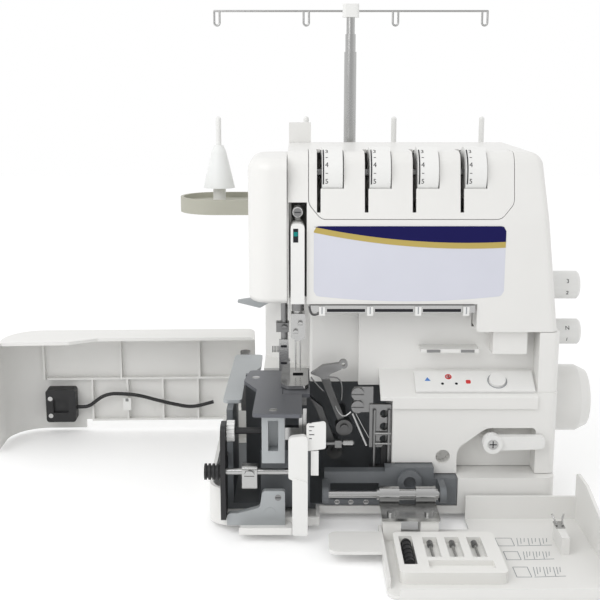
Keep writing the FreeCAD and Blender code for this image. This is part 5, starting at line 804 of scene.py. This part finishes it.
def tray_things():
    black = looks["black_plastic"]
    bright = looks["bright_steel"]
    steel = looks["steel"]
    middle = (TRAY_FLOOR + TRAY_TOP) / 2
    raised = middle + TOOL_LIFT
    tool_bar("tool handle", TOOL_X, *TOOL_Y, raised, TOOL_RADIUS, black)
    for i in range(TOOL_RINGS):
        y = TOOL_RING_FIRST + i * TOOL_RING_PITCH
        tool_bar(f"tool ring {i}", TOOL_X, y, y + TOOL_RING_WIDTH, raised, TOOL_RING_RADIUS, black)
    front, back = SMALL_TOOL_Y
    for i, x in enumerate(SMALL_TOOLS):
        tool_bar(f"small tool {i}", x, front, back, middle, SMALL_TOOL_RADIUS, bright)
        tool_bar(f"small tool head {i}", x, SMALL_TOOL_NECK, back, middle, SMALL_TOOL_HEAD_RADIUS, steel)


# Drawings and clip on the open front cover
def stroke(name, start, end, width):
    a = Vector(start)
    b = Vector(end)
    along = (b - a).normalized() * width / 2
    side = Vector((-along.y, along.x))
    outline = [tuple(a - side), tuple(b - side), tuple(b + side), tuple(a + side)]
    laid(name, outline, COVER_INSIDE, LIFT, grey_ink_and_slit_shade, "front_cover")


def sketch(name, x0, x1, y0, y1):
    frame_right = x0 + (x1 - x0) * SKETCH_FRAME_SHARE
    corners = [(x0, y0), (frame_right, y0), (frame_right, y1), (x0, y1)]
    for i in range(len(corners)):
        stroke(f"{name} frame {i}", corners[i], corners[(i + 1) % len(corners)], SKETCH_LINE)
    for i in range(SKETCH_STROKES):
        x = frame_right + SKETCH_GAP + i * (x1 - frame_right - SKETCH_GAP) / SKETCH_STROKES
        low = y0 + (y1 - y0) * (SKETCH_LOW_SHARE + SKETCH_STEP_SHARE * (i % SKETCH_CYCLE))
        stroke(f"{name} stroke {i}", (x, low), (x + SKETCH_LEAN, y1), SKETCH_LINE)
    stroke(f"{name} base", (frame_right + SKETCH_BASE_GAP, y0), (x1, y0 + SKETCH_LEAN), SKETCH_LINE)


def cover_clip():
    bright = looks["bright_steel"]
    across = span(COVER_CLIP_X, CLIP_PLATE_HALF)
    block("clip plate", *across, *CLIP_PLATE_Y, *CLIP_PLATE_Z, bright, "front_cover")
    for i, side in enumerate(PRONG_SIDES):
        x = COVER_CLIP_X + side
        path = [(x, *PRONG_FOOT), (x, *PRONG_BEND), (x + side, *PRONG_TIP)]
        wire(f"clip prong {i}", path, PRONG_RADIUS, bright, "front_cover")


# Camera, light and floor
def camera():
    view = bpy.data.cameras.new("camera")
    view.lens = CAMERA_LENS
    view.sensor_width = SENSOR_WIDTH
    view.clip_end = CAMERA_REACH * MM
    made = bpy.data.objects.new("camera", view)
    made.location = at(*CAMERA_PLACE)
    made.rotation_euler = (math.radians(CAMERA_PITCH), 0, 0)
    bpy.context.scene.collection.objects.link(made)
    bpy.context.scene.camera = made


def lamp(name, place, target, power, size):
    light = bpy.data.lights.new(name, "AREA")
    light.energy = power
    light.size = size * MM
    made = bpy.data.objects.new(name, light)
    made.location = at(*place)
    made.rotation_euler = (at(*target) - made.location).to_track_quat("-Z", "Y").to_euler()
    bpy.context.scene.collection.objects.link(made)


def pale_floor():
    material = bpy.data.materials.new("pale floor")
    material.use_nodes = True
    tree = material.node_tree
    shader = tree.nodes["Principled BSDF"]
    shader.inputs["Base Color"].default_value = (FLOOR_SHADE, FLOOR_SHADE, FLOOR_SHADE, 1.0)
    shader.inputs["Roughness"].default_value = FLOOR_ROUGH
    path = tree.nodes.new("ShaderNodeLightPath")
    seen = path.outputs["Is Camera Ray"]
    for name in ("Is Glossy Ray", "Is Transmission Ray"):
        either = tree.nodes.new("ShaderNodeMath")
        either.operation = "MAXIMUM"
        tree.links.new(seen, either.inputs[0])
        tree.links.new(path.outputs[name], either.inputs[1])
        seen = either.outputs[0]
    shader.inputs["Emission Color"].default_value = (1.0, 1.0, 1.0, 1.0)
    tree.links.new(ranged(tree, seen, 0.0, FLOOR_GLOW), shader.inputs["Emission Strength"])
    return material


def studio():
    world = bpy.data.worlds.new("studio")
    world.use_nodes = True
    tree = world.node_tree
    sky = tree.nodes["Background"]
    sky.inputs["Strength"].default_value = WORLD_STRENGTH
    place = tree.nodes.new("ShaderNodeTexCoord")
    parts = tree.nodes.new("ShaderNodeSeparateXYZ")
    fade = tree.nodes.new("ShaderNodeMapRange")
    fade.inputs["From Min"].default_value = WORLD_FADE_START
    fade.inputs["From Max"].default_value = WORLD_FADE_END
    fade.inputs["To Min"].default_value = WORLD_FRONT
    fade.inputs["To Max"].default_value = WORLD_BACK
    tree.links.new(place.outputs["Generated"], parts.inputs["Vector"])
    tree.links.new(parts.outputs["Y"], fade.inputs["Value"])
    tree.links.new(fade.outputs["Result"], sky.inputs["Color"])
    bpy.context.scene.world = world
    lamp("key", KEY_PLACE, KEY_TARGET, KEY_POWER, KEY_SIZE)
    half = FLOOR_SIZE / 2
    mesh = bpy.data.meshes.new("floor")
    corners = [(-half, -half), (half, -half), (half, half), (-half, half)]
    mesh.from_pydata([at(x, y, 0) for x, y in corners], [], [(0, 1, 2, 3)])
    mesh.materials.append(pale_floor())
    floor = bpy.data.objects.new("floor", mesh)
    bpy.context.scene.collection.objects.link(floor)


finish_nodes()
two_tone_and_painted_shade_nodes()
label()
for index in range(DIAL_COUNT):
    tension_dial(index)
side_dial("length_dial", LENGTH_DIAL_RADIUS, LENGTH_DIAL_X, LENGTH_DIAL_Z, "3", "2")
side_dial("differential_dial", DIFFERENTIAL_DIAL_RADIUS, DIFFERENTIAL_DIAL_X, DIFFERENTIAL_DIAL_Z, "N", "1")
take_up_marks()
panel_marks()
tray_things()
thread_guides()
column_fittings()
looper_bay()
foot_fittings()
small_screws()
side_fittings()
for name, box in SKETCHES.items():
    sketch(name, *box)
cover_clip()
camera()
studio()

scene = bpy.context.scene
scene.view_settings.view_transform = "Standard"

note_size()
